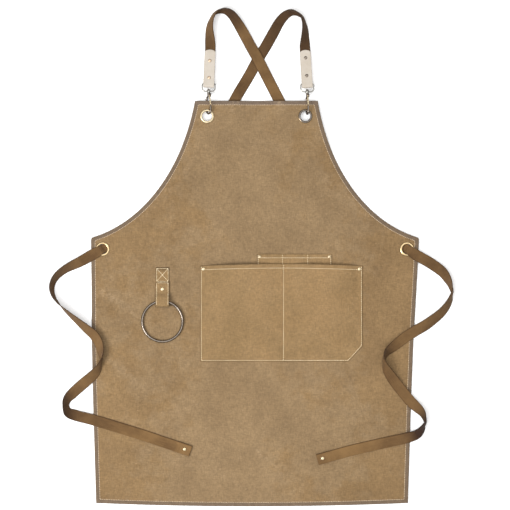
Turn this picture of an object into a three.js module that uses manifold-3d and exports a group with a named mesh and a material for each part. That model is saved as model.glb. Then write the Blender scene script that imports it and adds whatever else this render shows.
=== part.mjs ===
// A cross-back work apron lying flat, front up, on the surface that it rests on.
// Millimetres, +Z up. +Y runs from the bottom hem to the bib, +X to the right of the front.
import * as THREE from 'three';
import { mergeVertices } from 'three/addons/utils/BufferGeometryUtils.js';
import Module from 'manifold-3d';

const wasm = await Module();
wasm.setup();

// Canvas panel
const panelHeight = 850;
const panelWidth = 690; // across the hips
const bibWidth = 258;
const bottomWidth = 656;
const hipHeight = 562; // bottom edge to the side corners
const bottomBow = 7; // how far the bottom corners sit above the middle
const canvas = 1; // thickness of the cloth
const hemWidth = 11;
const hemFold = 2; // cloth folded under along every edge
const gap = 0.3; // clearance between pieces that touch
const cutLow = -5; // holes are cut between these two heights
const cutHigh = 40;

// Grommets
const holeRadius = 10.2;
const flangeRadius = 15.2;
const barrelWall = 0.8;
const flangeHeight = 1.4;
const washerThickness = 0.8;
const topGrommetDown = 32.4; // centre to the bib's top edge
const topGrommetIn = 25.8; // centre to the bib's corner, across
const sideGrommetDown = 23.4; // centre to the side corner
const sideGrommetIn = 25;

// Webbing
const webWidth = 23;
const webThickness = 1.5;
const bunchedWidth = 18.6; // where the webbing squeezes through a grommet
const endFold = 24; // doubled length at a free end

// Leather tabs
const tabWidth = 22.8;
const tabLength = 76.5; // middle of its fold to the arched end
const tabArch = 6;
const leather = 1.6;
const tabSlope = 4.9; // degrees, down from the bar to the ground
const barClear = 1.1; // room between the leather and the bar
const tabYaw = { left: 2.4, right: -3.4 }; // degrees

// Swivel snap hooks
const hookWire = 4;
const hookThroat = 12; // clear width inside the hook
const hookReach = 47; // swivel to the middle of the bend
const hookOffset = { left: 3.4, right: 4 }; // to the right of the grommet's centre
const hookSway = 35; // degrees that the hook turns each way from upright
const hookLean = { left: 33, right: 14 }; // degrees, as it lies
const eyeWire = 2.8;
const eyeWidth = 24.6; // clear width of the loop that holds the tab
const eyeLength = 16; // swivel to the middle of the bar
const tabDroop = 4; // how far the fold of the tab hangs below the bar
const bossRadius = 4;
const bossLength = 5;
const shankRadius = 1.5;
const gateWire = 2.8;

// Main pocket
const pocketWidth = 341;
const pocketHeight = 201;
const pocketRight = 55.5; // centre of the pocket from the panel's middle
const pocketUp = 302.3; // bottom edge above the panel's bottom
const pocketBow = 4; // the mouth rises in the middle
const pocketDepth = 10; // how far each half stands open at the mouth
const pocketSeam = 0.513; // dividing seam, as a share of the width
const chamferAcross = 29.5;
const chamferUp = 32;
const seamWidth = 11;

// Pen pocket
const penWidth = 157;
const penHeight = 120;
const penRight = 83;
const penTop = 24.6; // how far it shows above the main pocket's corner
const penDepth = 1.2;
const penSeams = [0.338, 0.676]; // dividing seams, as shares of the width
const penFlat = 9; // flat band beside each seam

// Hanging loop and ring
const loopWidth = 28;
const loopLength = 83;
const loopReturn = 52.8; // length of the folded-back layer
const loopCloth = 1.6;
const loopRadius = 4.15; // inside of the fold
const loopLeft = 194.6; // centre of the loop from the panel's middle
const loopTop = 499.7;
const ringDiameter = 90;
const ringWire = 5.2;
const ringSlack = 8; // from the fold's inside to the ring's wire

// Rivets
const rivetShank = 1.2;
const rivetCap = 0.7;
const rivetHead = { pocket: 3.5, pen: 3, loop: 3.7, tab: 3.4, end: 3.5 };
const rivetRise = 1.3;
const pocketRivetIn = 6.6;
const penRivetIn = 5.4;
const loopRivetDown = 15; // from the folded-back layer's end
const tabRivets = { left: [16.4, 52.5], right: [21.5, 59.5] }; // from the bar
const endRivetIn = { left: 11, right: 13 };

const half = panelWidth / 2;
const panelTop = hemFold + canvas;

// Heights of the hooks' swivels, and how far the cloth is lifted over hooks and ties
const swivelHeight = 0.1 + hookWire + hookThroat / 2;
const legHeight = (hookThroat + hookWire) / 2;
const spineTop = swivelHeight - legHeight * Math.cos(THREE.MathUtils.degToRad(hookSway)) + hookWire / 2;
const hookLift = spineTop + gap;
const tieLift = 2 * webThickness - 1;

const colours = {
  canvas: 0xa0845f, webbing: 0x80603e, leather: 0xe2d9ca,
  brass: 0xb99a5b, nickel: 0x6d6a66, copper: 0xb08a6a,
};

const apron = new THREE.Group();

function addPiece(name, geometry, colour, roughness, metalness, parent = apron) {
  const material = new THREE.MeshStandardMaterial({ color: colour, roughness, metalness });
  const mesh = new THREE.Mesh(geometry, material);
  mesh.name = name;
  parent.add(mesh);
  return mesh;
}

// Helpers for shapes

function fade(share) {
  return 0.5 + 0.5 * Math.cos(Math.PI * THREE.MathUtils.clamp(share, 0, 1));
}

function mixRows(rows, key, value, column) {
  const after = rows.findIndex((row) => row[key] >= value);
  if (after === 0) return rows[0][column];
  if (after < 0) return rows[rows.length - 1][column];
  const low = rows[after - 1];
  const high = rows[after];
  return THREE.MathUtils.mapLinear(value, low[key], high[key], low[column], high[column]);
}

function solidFrom(geometry) {
  const bare = geometry.clone();
  bare.deleteAttribute('normal');
  bare.deleteAttribute('uv');
  const merged = mergeVertices(bare, 1e-4);
  return new wasm.Manifold(new wasm.Mesh({
    numProp: 3,
    vertProperties: new Float32Array(merged.attributes.position.array),
    triVerts: new Uint32Array(merged.index.array),
  }));
}

function geometryFrom(solid) {
  const mesh = solid.getMesh();
  const geometry = new THREE.BufferGeometry();
  geometry.setAttribute('position', new THREE.BufferAttribute(mesh.vertProperties, 3));
  geometry.setIndex(new THREE.BufferAttribute(mesh.triVerts, 1));
  geometry.computeVertexNormals();
  return geometry;
}

function signedVolume(points, triangles) {
  let volume = 0;
  for (const [a, b, c] of triangles) {
    volume += points[a].dot(new THREE.Vector3().crossVectors(points[b], points[c])) / 6;
  }
  return volume;
}

// A closed body from its corners and its triangles, turned so that the faces point out
function bodyFrom(points, triangles) {
  const inverted = signedVolume(points, triangles) < 0;
  const geometry = new THREE.BufferGeometry().setFromPoints(points);
  geometry.setIndex(triangles.flatMap(([a, b, c]) => (inverted ? [a, c, b] : [a, b, c])));
  geometry.computeVertexNormals();
  return geometry;
}

// A sheet with a thickness: upper and lower corners in rows, joined round its rim
function sheet(columns, rows, upper, lower) {
  const points = [];
  const triangles = [];
  const quad = (a, b, c, d) => triangles.push([a, b, c], [a, c, d]);
  for (const corner of [upper, lower]) {
    for (let j = 0; j < rows; j += 1) {
      for (let i = 0; i < columns; i += 1) points.push(corner(i, j));
    }
  }
  const top = (i, j) => j * columns + i;
  const under = (i, j) => rows * columns + j * columns + i;
  for (let j = 0; j < rows - 1; j += 1) {
    for (let i = 0; i < columns - 1; i += 1) {
      quad(top(i, j), top(i + 1, j), top(i + 1, j + 1), top(i, j + 1));
      quad(under(i, j), under(i, j + 1), under(i + 1, j + 1), under(i + 1, j));
    }
  }
  for (let i = 0; i < columns - 1; i += 1) {
    quad(top(i, 0), under(i, 0), under(i + 1, 0), top(i + 1, 0));
    quad(top(i, rows - 1), top(i + 1, rows - 1), under(i + 1, rows - 1), under(i, rows - 1));
  }
  for (let j = 0; j < rows - 1; j += 1) {
    quad(top(0, j), top(0, j + 1), under(0, j + 1), under(0, j));
    quad(top(columns - 1, j), under(columns - 1, j), under(columns - 1, j + 1), top(columns - 1, j + 1));
  }
  return bodyFrom(points, triangles);
}

// A body through equal sections, with flat ends unless it closes on itself. Each face of a thin
// band is split along the same diagonal as the one behind it, so that it stays as thick in a twist
function loft(sections, closed = false, thin = false) {
  const points = sections.flat();
  const sides = sections[0].length;
  const count = sections.length;
  const triangles = [];
  const quad = (a, b, c, d) => triangles.push([a, b, c], [a, c, d]);
  const at = (station, side) => (station % count) * sides + (side % sides);
  for (let s = 0; s < (closed ? count : count - 1); s += 1) {
    for (let k = 0; k < sides; k += 1) {
      const [a, b, c, d] = [at(s, k), at(s, k + 1), at(s + 1, k + 1), at(s + 1, k)];
      if (thin && k >= sides / 2) quad(b, c, d, a);
      else quad(a, b, c, d);
    }
  }
  if (!closed) {
    for (let k = 0; k < sides / 2 - 1; k += 1) {
      quad(at(0, sides - 1 - k), at(0, sides - 2 - k), at(0, k + 1), at(0, k));
      const end = count - 1;
      quad(at(end, k), at(end, k + 1), at(end, sides - 2 - k), at(end, sides - 1 - k));
    }
  }
  return bodyFrom(points, triangles);
}

// Round wire along a path that lies in one plane
function wire(path, radius, normal, closed = false, sides = 8) {
  const count = path.length;
  const sections = path.map((point, k) => {
    const before = closed ? path[(k + count - 1) % count] : path[Math.max(k - 1, 0)];
    const after = closed ? path[(k + 1) % count] : path[Math.min(k + 1, count - 1)];
    const inward = point.clone().sub(before).normalize();
    const onward = after.clone().sub(point).normalize();
    const along = inward.clone().add(onward).normalize();
    const mitre = 1 / Math.max(0.7, along.dot(inward), along.dot(onward));
    const across = new THREE.Vector3().crossVectors(along, normal).normalize();
    return Array.from({ length: sides }, (unused, side) => {
      const angle = (2 * Math.PI * (side + 0.5)) / sides;
      return point.clone()
        .addScaledVector(across, radius * mitre * Math.cos(angle))
        .addScaledVector(normal, radius * Math.sin(angle));
    });
  });
  return loft(sections, closed);
}

// A round body about Z from a profile of radius and height
function turned(profile, segments) {
  return new THREE.LatheGeometry(profile.map(([r, z]) => new THREE.Vector2(r, z)), segments)
    .rotateX(Math.PI / 2);
}

function pin(radius, low, high, segments) {
  return turned([[0, low], [radius, low], [radius, high], [0, high]], segments);
}

// A strip of one thickness bent along a path of length and height, as wide as asked
function bentStrip(path, thickness, width) {
  const side = (sign) => path.map(([y, z], k) => {
    const [y0, z0] = path[Math.max(k - 1, 0)];
    const [y1, z1] = path[Math.min(k + 1, path.length - 1)];
    const length = Math.hypot(y1 - y0, z1 - z0);
    const out = (sign * thickness) / 2;
    return new THREE.Vector2(y - (out * (z1 - z0)) / length, z + (out * (y1 - y0)) / length);
  });
  const outline = new THREE.Shape([...side(1), ...side(-1).reverse()]);
  const geometry = new THREE.ExtrudeGeometry(outline, { depth: width, bevelEnabled: false });
  geometry.translate(0, 0, -width / 2);
  const lengthways = new THREE.Vector3(0, 1, 0);
  const upwards = new THREE.Vector3(0, 0, 1);
  const sideways = new THREE.Vector3(1, 0, 0);
  return geometry.applyMatrix4(new THREE.Matrix4().makeBasis(lengthways, upwards, sideways));
}

// Outline of the panel

// The middle line leans a little to the left towards the bottom, in shares of the width
const sway = [
  { up: 0, across: -0.009 },
  { up: 0.24, across: -0.009 },
  { up: 0.4, across: -0.0075 },
  { up: 0.53, across: -0.003 },
  { up: 0.66, across: 0 },
  { up: 1, across: 0.0042 },
];

// The armhole is one curve from the side corner to the bib's corner
const armholeRise = panelHeight - hipHeight;
const armholeRun = half - bibWidth / 2;
const armhole = new THREE.CubicBezierCurve(
  new THREE.Vector2(half, hipHeight),
  new THREE.Vector2(bibWidth / 2 + 0.482 * armholeRun, hipHeight + 0.114 * armholeRise),
  new THREE.Vector2(bibWidth / 2 + 0.114 * armholeRun, hipHeight + 0.511 * armholeRise),
  new THREE.Vector2(bibWidth / 2, panelHeight),
).getPoints(60);

function middle(y) {
  return panelWidth * mixRows(sway, 'up', y / panelHeight, 'across');
}

function halfWidth(y) {
  if (y <= hipHeight) return THREE.MathUtils.lerp(bottomWidth / 2, half, Math.max(y, 0) / hipHeight);
  return mixRows(armhole, 'y', y, 'x');
}

// Half width inside a border of one breadth along the edge
function insetHalf(y, border) {
  const steps = 16;
  let least = Infinity;
  for (let k = -steps; k <= steps; k += 1) {
    const along = (border * k) / steps;
    const reach = Math.sqrt(border * border - along * along);
    least = Math.min(least, halfWidth(Math.min(y + along, panelHeight)) - reach);
  }
  return least;
}

// Centres of the four grommets
const grommets = [-1, 1].flatMap((side) => {
  const name = side < 0 ? 'left' : 'right';
  const topY = panelHeight - topGrommetDown;
  const sideY = hipHeight - sideGrommetDown;
  return [
    { name: `top_${name}`, x: middle(topY) + side * (bibWidth / 2 - topGrommetIn), y: topY },
    { name: `side_${name}`, x: middle(sideY) + side * (half - sideGrommetIn), y: sideY },
  ];
});
const grommetAt = (name) => grommets.find((grommet) => grommet.name === name);

// The cloth rises over the hooks' backs and over the webbing that comes up at the sides
const lifts = [
  { grommet: 'top_left', height: hookLift, flat: 50, reach: 115 },
  { grommet: 'top_right', height: hookLift, flat: 50, reach: 115 },
  { grommet: 'side_left', height: tieLift, flat: 45, reach: 80 },
  { grommet: 'side_right', height: tieLift, flat: 45, reach: 80 },
];

function clothLift(x, y) {
  return Math.max(...lifts.map(({ grommet, height, flat, reach }) => {
    const { x: gx, y: gy } = grommetAt(grommet);
    return height * fade((Math.hypot(x - gx, y - gy) - flat) / (reach - flat));
  }));
}

// Rivets

// A rivet with its washer under `low` and its domed head over `high`
function rivetBody(low, high, head) {
  const under = low - gap;
  const over = high + gap;
  return turned([
    [0, under - rivetCap], [head * 0.85, under - rivetCap], [head * 0.85, under],
    [rivetShank, under], [rivetShank, over], [head, over],
    [head * 0.8, over + 0.7 * rivetRise], [0, over + rivetRise],
  ], 8);
}

function rivetHole(x, y, low = cutLow, high = cutHigh) {
  return solidFrom(pin(rivetShank + gap, low, high, 8).translate(x, y, 0));
}

// Places of the rivets that go through the panel
const mainLeft = pocketRight - pocketWidth / 2;
const mainTop = pocketUp + pocketHeight;
const penLeft = penRight - penWidth / 2;
const penUp = mainTop + penTop;
const loopFoldUp = loopTop - loopLength;
const panelRivets = [
  { name: 'pocket_rivet_left', x: mainLeft + pocketRivetIn, y: mainTop - pocketRivetIn, kind: 'pocket' },
  {
    name: 'pocket_rivet_right', kind: 'pocket',
    x: mainLeft + pocketWidth - pocketRivetIn, y: mainTop - pocketRivetIn,
  },
  { name: 'pen_pocket_rivet_left', x: penLeft + penRivetIn, y: penUp - penRivetIn, kind: 'pen' },
  { name: 'pen_pocket_rivet_right', x: penLeft + penWidth - penRivetIn, y: penUp - penRivetIn, kind: 'pen' },
  { name: 'loop_rivet', x: -loopLeft, y: loopFoldUp + loopReturn - loopRivetDown, kind: 'loop' },
];

// Panel

function makePanel() {
  const step = 0.6; // width of the slope from the hem's fold to the single cloth
  const innerColumns = 15;
  const lowerRows = 11;
  const armholeShares = [
    0.015, 0.035, 0.065, 0.1, 0.15, 0.21, 0.28, 0.36, 0.45, 0.54, 0.63, 0.73, 0.83,
  ];
  const rows = [0, hemWidth, hemWidth + step];
  for (let k = 1; k <= lowerRows; k += 1) rows.push((hipHeight * k) / lowerRows);
  for (const share of armholeShares) rows.push(hipHeight + share * armholeRise);
  rows.push(panelHeight - hemWidth - step, panelHeight - hemWidth, panelHeight);
  const columns = innerColumns + 4;
  const corner = (i, j, under) => {
    const y = rows[j];
    const outer = halfWidth(y);
    const inner = insetHalf(y, hemWidth);
    const mirrored = i >= columns / 2;
    const place = mirrored ? columns - 1 - i : i;
    const side = mirrored ? 1 : -1;
    let x = side * outer;
    if (place === 1) x = side * inner;
    if (place >= 2) {
      const share = (i - 2) / (columns - 5);
      x = THREE.MathUtils.lerp(-(inner - step), inner - step, share);
    }
    const inHem = place < 2 || j < 2 || j > rows.length - 3;
    const bow = bottomBow * ((x / outer) ** 2 - 0.4) * Math.max(0, 1 - y / hipHeight);
    const lift = clothLift(x + middle(y), y);
    const z = under ? lift + (inHem ? 0 : hemFold) : lift + panelTop;
    return new THREE.Vector3(x + middle(y), y + bow, z);
  };
  let solid = solidFrom(sheet(
    columns, rows.length,
    (i, j) => corner(i, j, false), (i, j) => corner(i, j, true),
  ));
  const barrel = holeRadius + barrelWall + gap;
  for (const { x, y } of grommets) {
    const under = clothLift(x, y) + hemFold;
    solid = solid.subtract(solidFrom(pin(barrel, cutLow, cutHigh, 20).translate(x, y, 0)));
    solid = solid.subtract(solidFrom(pin(flangeRadius + gap, cutLow, under, 20).translate(x, y, 0)));
  }
  for (const { x, y } of panelRivets) solid = solid.subtract(rivetHole(x, y));
  addPiece('apron_panel', geometryFrom(solid), colours.canvas, 0.9, 0);
}

function makeGrommets() {
  const barrel = holeRadius + barrelWall;
  for (const { name, x, y } of grommets) {
    const low = clothLift(x, y) + hemFold - gap;
    const high = clothLift(x, y) + panelTop + gap;
    const ring = turned([
      [holeRadius, low - washerThickness], [flangeRadius - 0.3, low - washerThickness],
      [flangeRadius, low], [barrel, low], [barrel, high], [flangeRadius, high],
      [flangeRadius - 0.8, high + 0.7 * flangeHeight], [flangeRadius - 2.4, high + flangeHeight],
      [holeRadius + 0.7, high + 0.75 * flangeHeight], [holeRadius, high],
      [holeRadius, low - washerThickness],
    ], 16);
    addPiece(`grommet_${name}`, ring, colours.brass, 0.3, 1).position.set(x, y, 0);
  }
}

// Pockets

// How far the pen pocket stands off the panel: nothing at its seams, most in each slot
function penRise(x, y) {
  const across = x - penLeft;
  const seams = [0, ...penSeams, 1].map((share) => share * penWidth);
  const slot = seams.findIndex((seam) => seam >= across) - 1;
  if (slot < 0 || across > penWidth) return 0;
  const low = seams[slot] + penFlat;
  const high = seams[slot + 1] - penFlat;
  const within = THREE.MathUtils.clamp((across - low) / (high - low), 0, 1);
  const up = THREE.MathUtils.clamp((y - (penUp - penHeight)) / penHeight, 0, 1);
  return penDepth * Math.sin(Math.PI * within) * up;
}

// Room that the main pocket leaves for the pen pocket behind it
function penCover(x, y) {
  const margin = 6;
  const ramp = 24;
  const outX = Math.max(penLeft - x, x - penLeft - penWidth, 0);
  const outY = Math.max(penUp - penHeight - y, 0);
  const weight = fade((Math.hypot(outX, outY) - margin) / ramp);
  return weight * (canvas + 3 * gap + penDepth * (penRise(x, y) > 0 ? 1 : 0.3));
}

function makeMainPocket() {
  const slots = 6; // cells across each half
  const upperRows = 6;
  const rows = [0, seamWidth, chamferUp];
  for (let k = 1; k <= upperRows; k += 1) {
    rows.push(THREE.MathUtils.lerp(chamferUp, pocketHeight, k / upperRows));
  }
  const seams = [0, pocketSeam, 1];
  const columns = [];
  for (const slot of [0, 1]) {
    for (let k = 0; k <= slots; k += 1) columns.push({ slot, share: k / slots });
  }
  const place = (i, j) => {
    const up = rows[j];
    const cut = chamferAcross * Math.max(0, 1 - up / chamferUp);
    const { slot, share } = columns[i - 1] ?? { slot: i === 0 ? 0 : 1, share: i === 0 ? 0 : 1 };
    const right = pocketWidth - cut;
    const seam = pocketSeam * pocketWidth;
    const low = slot === 0 ? seamWidth : seam + seamWidth / 2;
    const high = slot === 0 ? seam - seamWidth / 2 : right - seamWidth;
    let across = THREE.MathUtils.lerp(low, high, share);
    if (i === 0) across = 0;
    if (i === columns.length + 1) across = right;
    const climb = Math.max(0, (up - seamWidth) / (pocketHeight - seamWidth));
    const inside = i === 0 || i === columns.length + 1 ? 0 : Math.sin(Math.PI * share);
    const x = mainLeft + across;
    const bowed = pocketBow * Math.sin((Math.PI * across) / pocketWidth) * (up / pocketHeight) ** 3;
    const y = pocketUp + up + bowed;
    const rise = Math.max(pocketDepth * inside ** 0.75 * climb ** 0.8, penCover(x, y));
    return new THREE.Vector3(x, y, panelTop + gap + rise);
  };
  let solid = solidFrom(sheet(
    columns.length + 2, rows.length,
    (i, j) => place(i, j).add(new THREE.Vector3(0, 0, canvas)), place,
  ));
  for (const { x, y, kind } of panelRivets) {
    if (kind === 'pocket') solid = solid.subtract(rivetHole(x, y));
  }
  addPiece('main_pocket', geometryFrom(solid), colours.canvas, 0.9, 0);
}

function makePenPocket() {
  const cells = 4; // across each slot
  const seams = [0, ...penSeams, 1];
  const flat = penFlat / penWidth;
  const shares = [0];
  for (let slot = 0; slot < seams.length - 1; slot += 1) {
    for (let k = 0; k <= cells; k += 1) {
      shares.push(THREE.MathUtils.lerp(seams[slot] + flat, seams[slot + 1] - flat, k / cells));
    }
  }
  shares.push(1);
  const rows = [0, 0.35, 0.7, 1];
  const place = (i, j) => {
    const x = penLeft + shares[i] * penWidth;
    const y = penUp - penHeight * (1 - rows[j]);
    return new THREE.Vector3(x, y, panelTop + gap + penRise(x, y));
  };
  let solid = solidFrom(sheet(
    shares.length, rows.length,
    (i, j) => place(i, j).add(new THREE.Vector3(0, 0, canvas)), place,
  ));
  for (const { x, y, kind } of panelRivets) {
    if (kind === 'pen') solid = solid.subtract(rivetHole(x, y));
  }
  addPiece('pen_pocket', geometryFrom(solid), colours.canvas, 0.9, 0);
}

// Hanging loop and ring

const loopBack = panelTop + gap + loopCloth / 2; // middle of the back layer
const loopBend = loopRadius + loopCloth / 2;
const loopFront = loopBack + loopCloth + gap;
const loopCentre = loopFoldUp + loopRadius + loopCloth;
const ringRadius = (ringDiameter - ringWire) / 2;
const ringUp = loopFoldUp + loopCloth + ringSlack + ringWire / 2;
const ringHeight = loopBack + loopCloth / 2 + gap + ringWire / 2;

function makeLoop() {
  const path = [[loopTop, loopBack]];
  const turns = 8;
  for (let k = 0; k <= turns; k += 1) {
    const angle = -Math.PI / 2 - (Math.PI * k) / turns;
    path.push([
      loopCentre + loopBend * Math.cos(angle),
      loopBack + loopBend + loopBend * Math.sin(angle),
    ]);
  }
  const high = loopBack + 2 * loopBend;
  path.push([ringUp + ringWire, high]);
  path.push([ringUp + 2 * ringWire, THREE.MathUtils.lerp(loopFront, high, 0.72)]);
  path.push([ringUp + 3 * ringWire, THREE.MathUtils.lerp(loopFront, high, 0.2)]);
  path.push([ringUp + 3.9 * ringWire, loopFront]);
  path.push([loopFoldUp + loopReturn, loopFront]);
  const strip = bentStrip(path, loopCloth, loopWidth).translate(-loopLeft, 0, 0);
  const { x, y } = panelRivets.find(({ kind }) => kind === 'loop');
  const solid = solidFrom(strip).subtract(rivetHole(x, y));
  addPiece('towel_loop', geometryFrom(solid), colours.canvas, 0.9, 0);
}

function makeRing() {
  const farHeight = panelTop + gap + ringWire / 2;
  const hinge = new THREE.Group();
  hinge.position.set(-loopLeft, ringUp, ringHeight);
  hinge.rotation.x = Math.asin((ringHeight - farHeight) / (2 * ringRadius));
  const ring = new THREE.TorusGeometry(ringRadius, ringWire / 2, 8, 32);
  addPiece('towel_ring', ring, colours.nickel, 0.35, 1, hinge).position.y = -ringRadius;
  apron.add(hinge);
}

function makePanelRivets() {
  const top = {
    pocket: panelTop + gap + canvas, pen: panelTop + gap + canvas, loop: loopFront + loopCloth / 2,
  };
  for (const { name, x, y, kind } of panelRivets) {
    const body = rivetBody(hemFold, top[kind], rivetHead[kind]);
    addPiece(name, body, colours.brass, 0.35, 1).position.set(x, y, 0);
  }
}

// Hooks and tabs

// Where a hook's swivel lies: its bend hangs in the hole, clear of the edge at any turn
function swivelPlace(side) {
  const grommet = grommetAt(`top_${side}`);
  const clear = holeRadius - hookWire / 2 - 2 * gap;
  const aside = hookOffset[side] + hookWire * 0.6;
  const inset = Math.sqrt(clear * clear - aside * aside);
  return new THREE.Vector3(grommet.x + hookOffset[side], grommet.y + inset + hookReach, swivelHeight);
}

const zAxis = new THREE.Vector3(0, 0, 1);
const xAxis = new THREE.Vector3(1, 0, 0);

// A round body about the hook's long axis from a profile of radius and place along it
function turnedAlong(profile, segments) {
  return new THREE.LatheGeometry(profile.map(([r, y]) => new THREE.Vector2(r, y)), segments);
}

function eyeBody() {
  const out = (eyeWidth + eyeWire) / 2;
  const low = 7; // radius of the corners by the swivel
  const high = 2.6; // radius of the corners by the bar
  const outline = new THREE.Path();
  outline.moveTo(0, 0);
  outline.lineTo(out - low, 0);
  outline.absarc(out - low, low, low, -Math.PI / 2, 0);
  outline.absarc(out - high, eyeLength - high, high, 0, Math.PI / 2);
  outline.absarc(-out + high, eyeLength - high, high, Math.PI / 2, Math.PI);
  outline.absarc(-out + low, low, low, Math.PI, Math.PI * 1.5);
  const path = outline.getPoints(3).map(({ x, y }) => new THREE.Vector3(x, y, 0));
  const loop = solidFrom(wire(path, eyeWire / 2, zAxis, true, 6));
  const end = bossLength / 2;
  const boss = solidFrom(turnedAlong([[0, -end], [bossRadius, -end], [bossRadius, end], [0, end]], 10));
  const bore = shankRadius + gap;
  const hole = solidFrom(turnedAlong([[0, -9], [bore, -9], [bore, 6], [0, 6]], 10));
  return geometryFrom(loop.add(boss).subtract(hole));
}

// Places along the hook and above its axis, measured from the swivel
const gatePivot = { y: -8.6, z: 2.9 };
const noseTip = -29.4;
const gateTip = -28.4;

function hookBody() {
  const end = bossLength / 2 + gap;
  const head = solidFrom(turnedAlong([
    [0, -end - 4], [3, -end - 4], [3.6, -end - 2.4], [3.6, -end], [shankRadius, -end],
    [shankRadius, end], [3, end], [2.6, end + 1.6], [1.4, end + 2.6], [0, end + 2.6],
  ], 10));
  const bendY = -(hookReach - legHeight);
  const path = [
    [-end - 1.5, 0], [-8, -1.4], [-11.5, -5], [-15.5, -0.93 * legHeight], [-20, -legHeight],
  ];
  for (let k = 0; k <= 8; k += 1) {
    const angle = -Math.PI / 2 - (Math.PI * k) / 8;
    path.push([bendY + legHeight * Math.cos(angle), legHeight * Math.sin(angle)]);
  }
  path.push([noseTip, legHeight]);
  const points = path.map(([y, z]) => new THREE.Vector3(0, y, z));
  const spine = solidFrom(wire(points, hookWire / 2, xAxis));
  const lugs = solidFrom(new THREE.BoxGeometry(6.4, 7.4, 5.4).translate(0, -7.4, 2.4));
  const slot = solidFrom(new THREE.BoxGeometry(3.4, 9, 8).translate(0, gatePivot.y - 0.6, 4.6));
  const pivot = solidFrom(pin(0.8, -2.6, 2.6, 8).rotateY(Math.PI / 2).translate(0, gatePivot.y, gatePivot.z));
  return geometryFrom(head.add(lugs).subtract(slot).add(spine).add(pivot));
}

// The gate about its own pivot
function gateBody() {
  const tip = new THREE.Vector3(0, gateTip - gatePivot.y, legHeight - gatePivot.z);
  const knuckle = solidFrom(pin(2, -1.4, 1.4, 10).rotateY(Math.PI / 2));
  const bore = solidFrom(pin(1.1, -4, 4, 10).rotateY(Math.PI / 2));
  const rod = solidFrom(wire([tip.clone().multiplyScalar(0.06), tip], gateWire / 2, xAxis));
  return geometryFrom(knuckle.add(rod).subtract(bore));
}

// Tab body about the middle of its fold: length along Y, arched at its far end
function tabBody(side) {
  const layer = webThickness / 2 + gap + leather / 2;
  const fold = eyeWire / 2 + barClear + leather / 2;
  const path = [[tabLength, layer], [14, layer], [6, THREE.MathUtils.lerp(layer, fold, 0.62)]];
  for (let k = 0; k <= 8; k += 1) {
    const angle = Math.PI / 2 + (Math.PI * k) / 8;
    path.push([fold * Math.cos(angle), fold * Math.sin(angle)]);
  }
  path.push([6, -THREE.MathUtils.lerp(layer, fold, 0.62)], [14, -layer], [tabLength, -layer]);
  const plan = new THREE.Shape();
  plan.moveTo(-tabWidth / 2, -3 * fold);
  plan.lineTo(tabWidth / 2, -3 * fold);
  plan.lineTo(tabWidth / 2, tabLength - tabArch);
  plan.absellipse(0, tabLength - tabArch, tabWidth / 2, tabArch, 0, Math.PI);
  const outline = new THREE.ExtrudeGeometry(plan, { depth: 40, bevelEnabled: false, curveSegments: 8 });
  let solid = solidFrom(bentStrip(path, leather, tabWidth + 2));
  solid = solid.intersect(solidFrom(outline.translate(0, 0, -20)));
  for (const y of tabRivets[side]) solid = solid.subtract(rivetHole(0, y, -20, 20));
  return geometryFrom(solid);
}

function tabFrame(side) {
  const frame = new THREE.Group();
  frame.position.copy(swivelPlace(side));
  frame.position.y += eyeLength - tabDroop;
  frame.rotation.set(
    -THREE.MathUtils.degToRad(tabSlope), 0, -THREE.MathUtils.degToRad(tabYaw[side]), 'ZXY',
  );
  frame.updateMatrixWorld(true);
  return frame;
}

function makeHooks() {
  const outside = webThickness / 2 + gap + leather;
  for (const side of ['left', 'right']) {
    const metal = side === 'left' ? colours.nickel : colours.brass;
    const still = new THREE.Group();
    still.position.copy(swivelPlace(side));
    apron.add(still);
    addPiece(`hook_eye_${side}`, eyeBody(), colours.nickel, 0.35, 1, still);
    const turning = new THREE.Group();
    turning.rotation.y = THREE.MathUtils.degToRad(hookLean[side]);
    still.add(turning);
    addPiece(`snap_hook_${side}`, hookBody(), metal, 0.35, 1, turning);
    const gate = addPiece(`hook_gate_${side}`, gateBody(), colours.brass, 0.35, 1, turning);
    gate.position.set(0, gatePivot.y, gatePivot.z);
    const frame = tabFrame(side);
    apron.add(frame);
    addPiece(`leather_tab_${side}`, tabBody(side), colours.leather, 0.7, 0, frame);
    tabRivets[side].forEach((y, k) => {
      const body = rivetBody(-outside, outside, rivetHead.tab);
      const rivet = addPiece(`tab_rivet_${side}_${k + 1}`, body, colours.copper, 0.35, 1, frame);
      rivet.position.y = y;
    });
  }
}

// Straps: one length of webbing each, from a tab over the shoulder, across the back,
// under the bib, up through a side grommet and out as a tie

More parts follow.
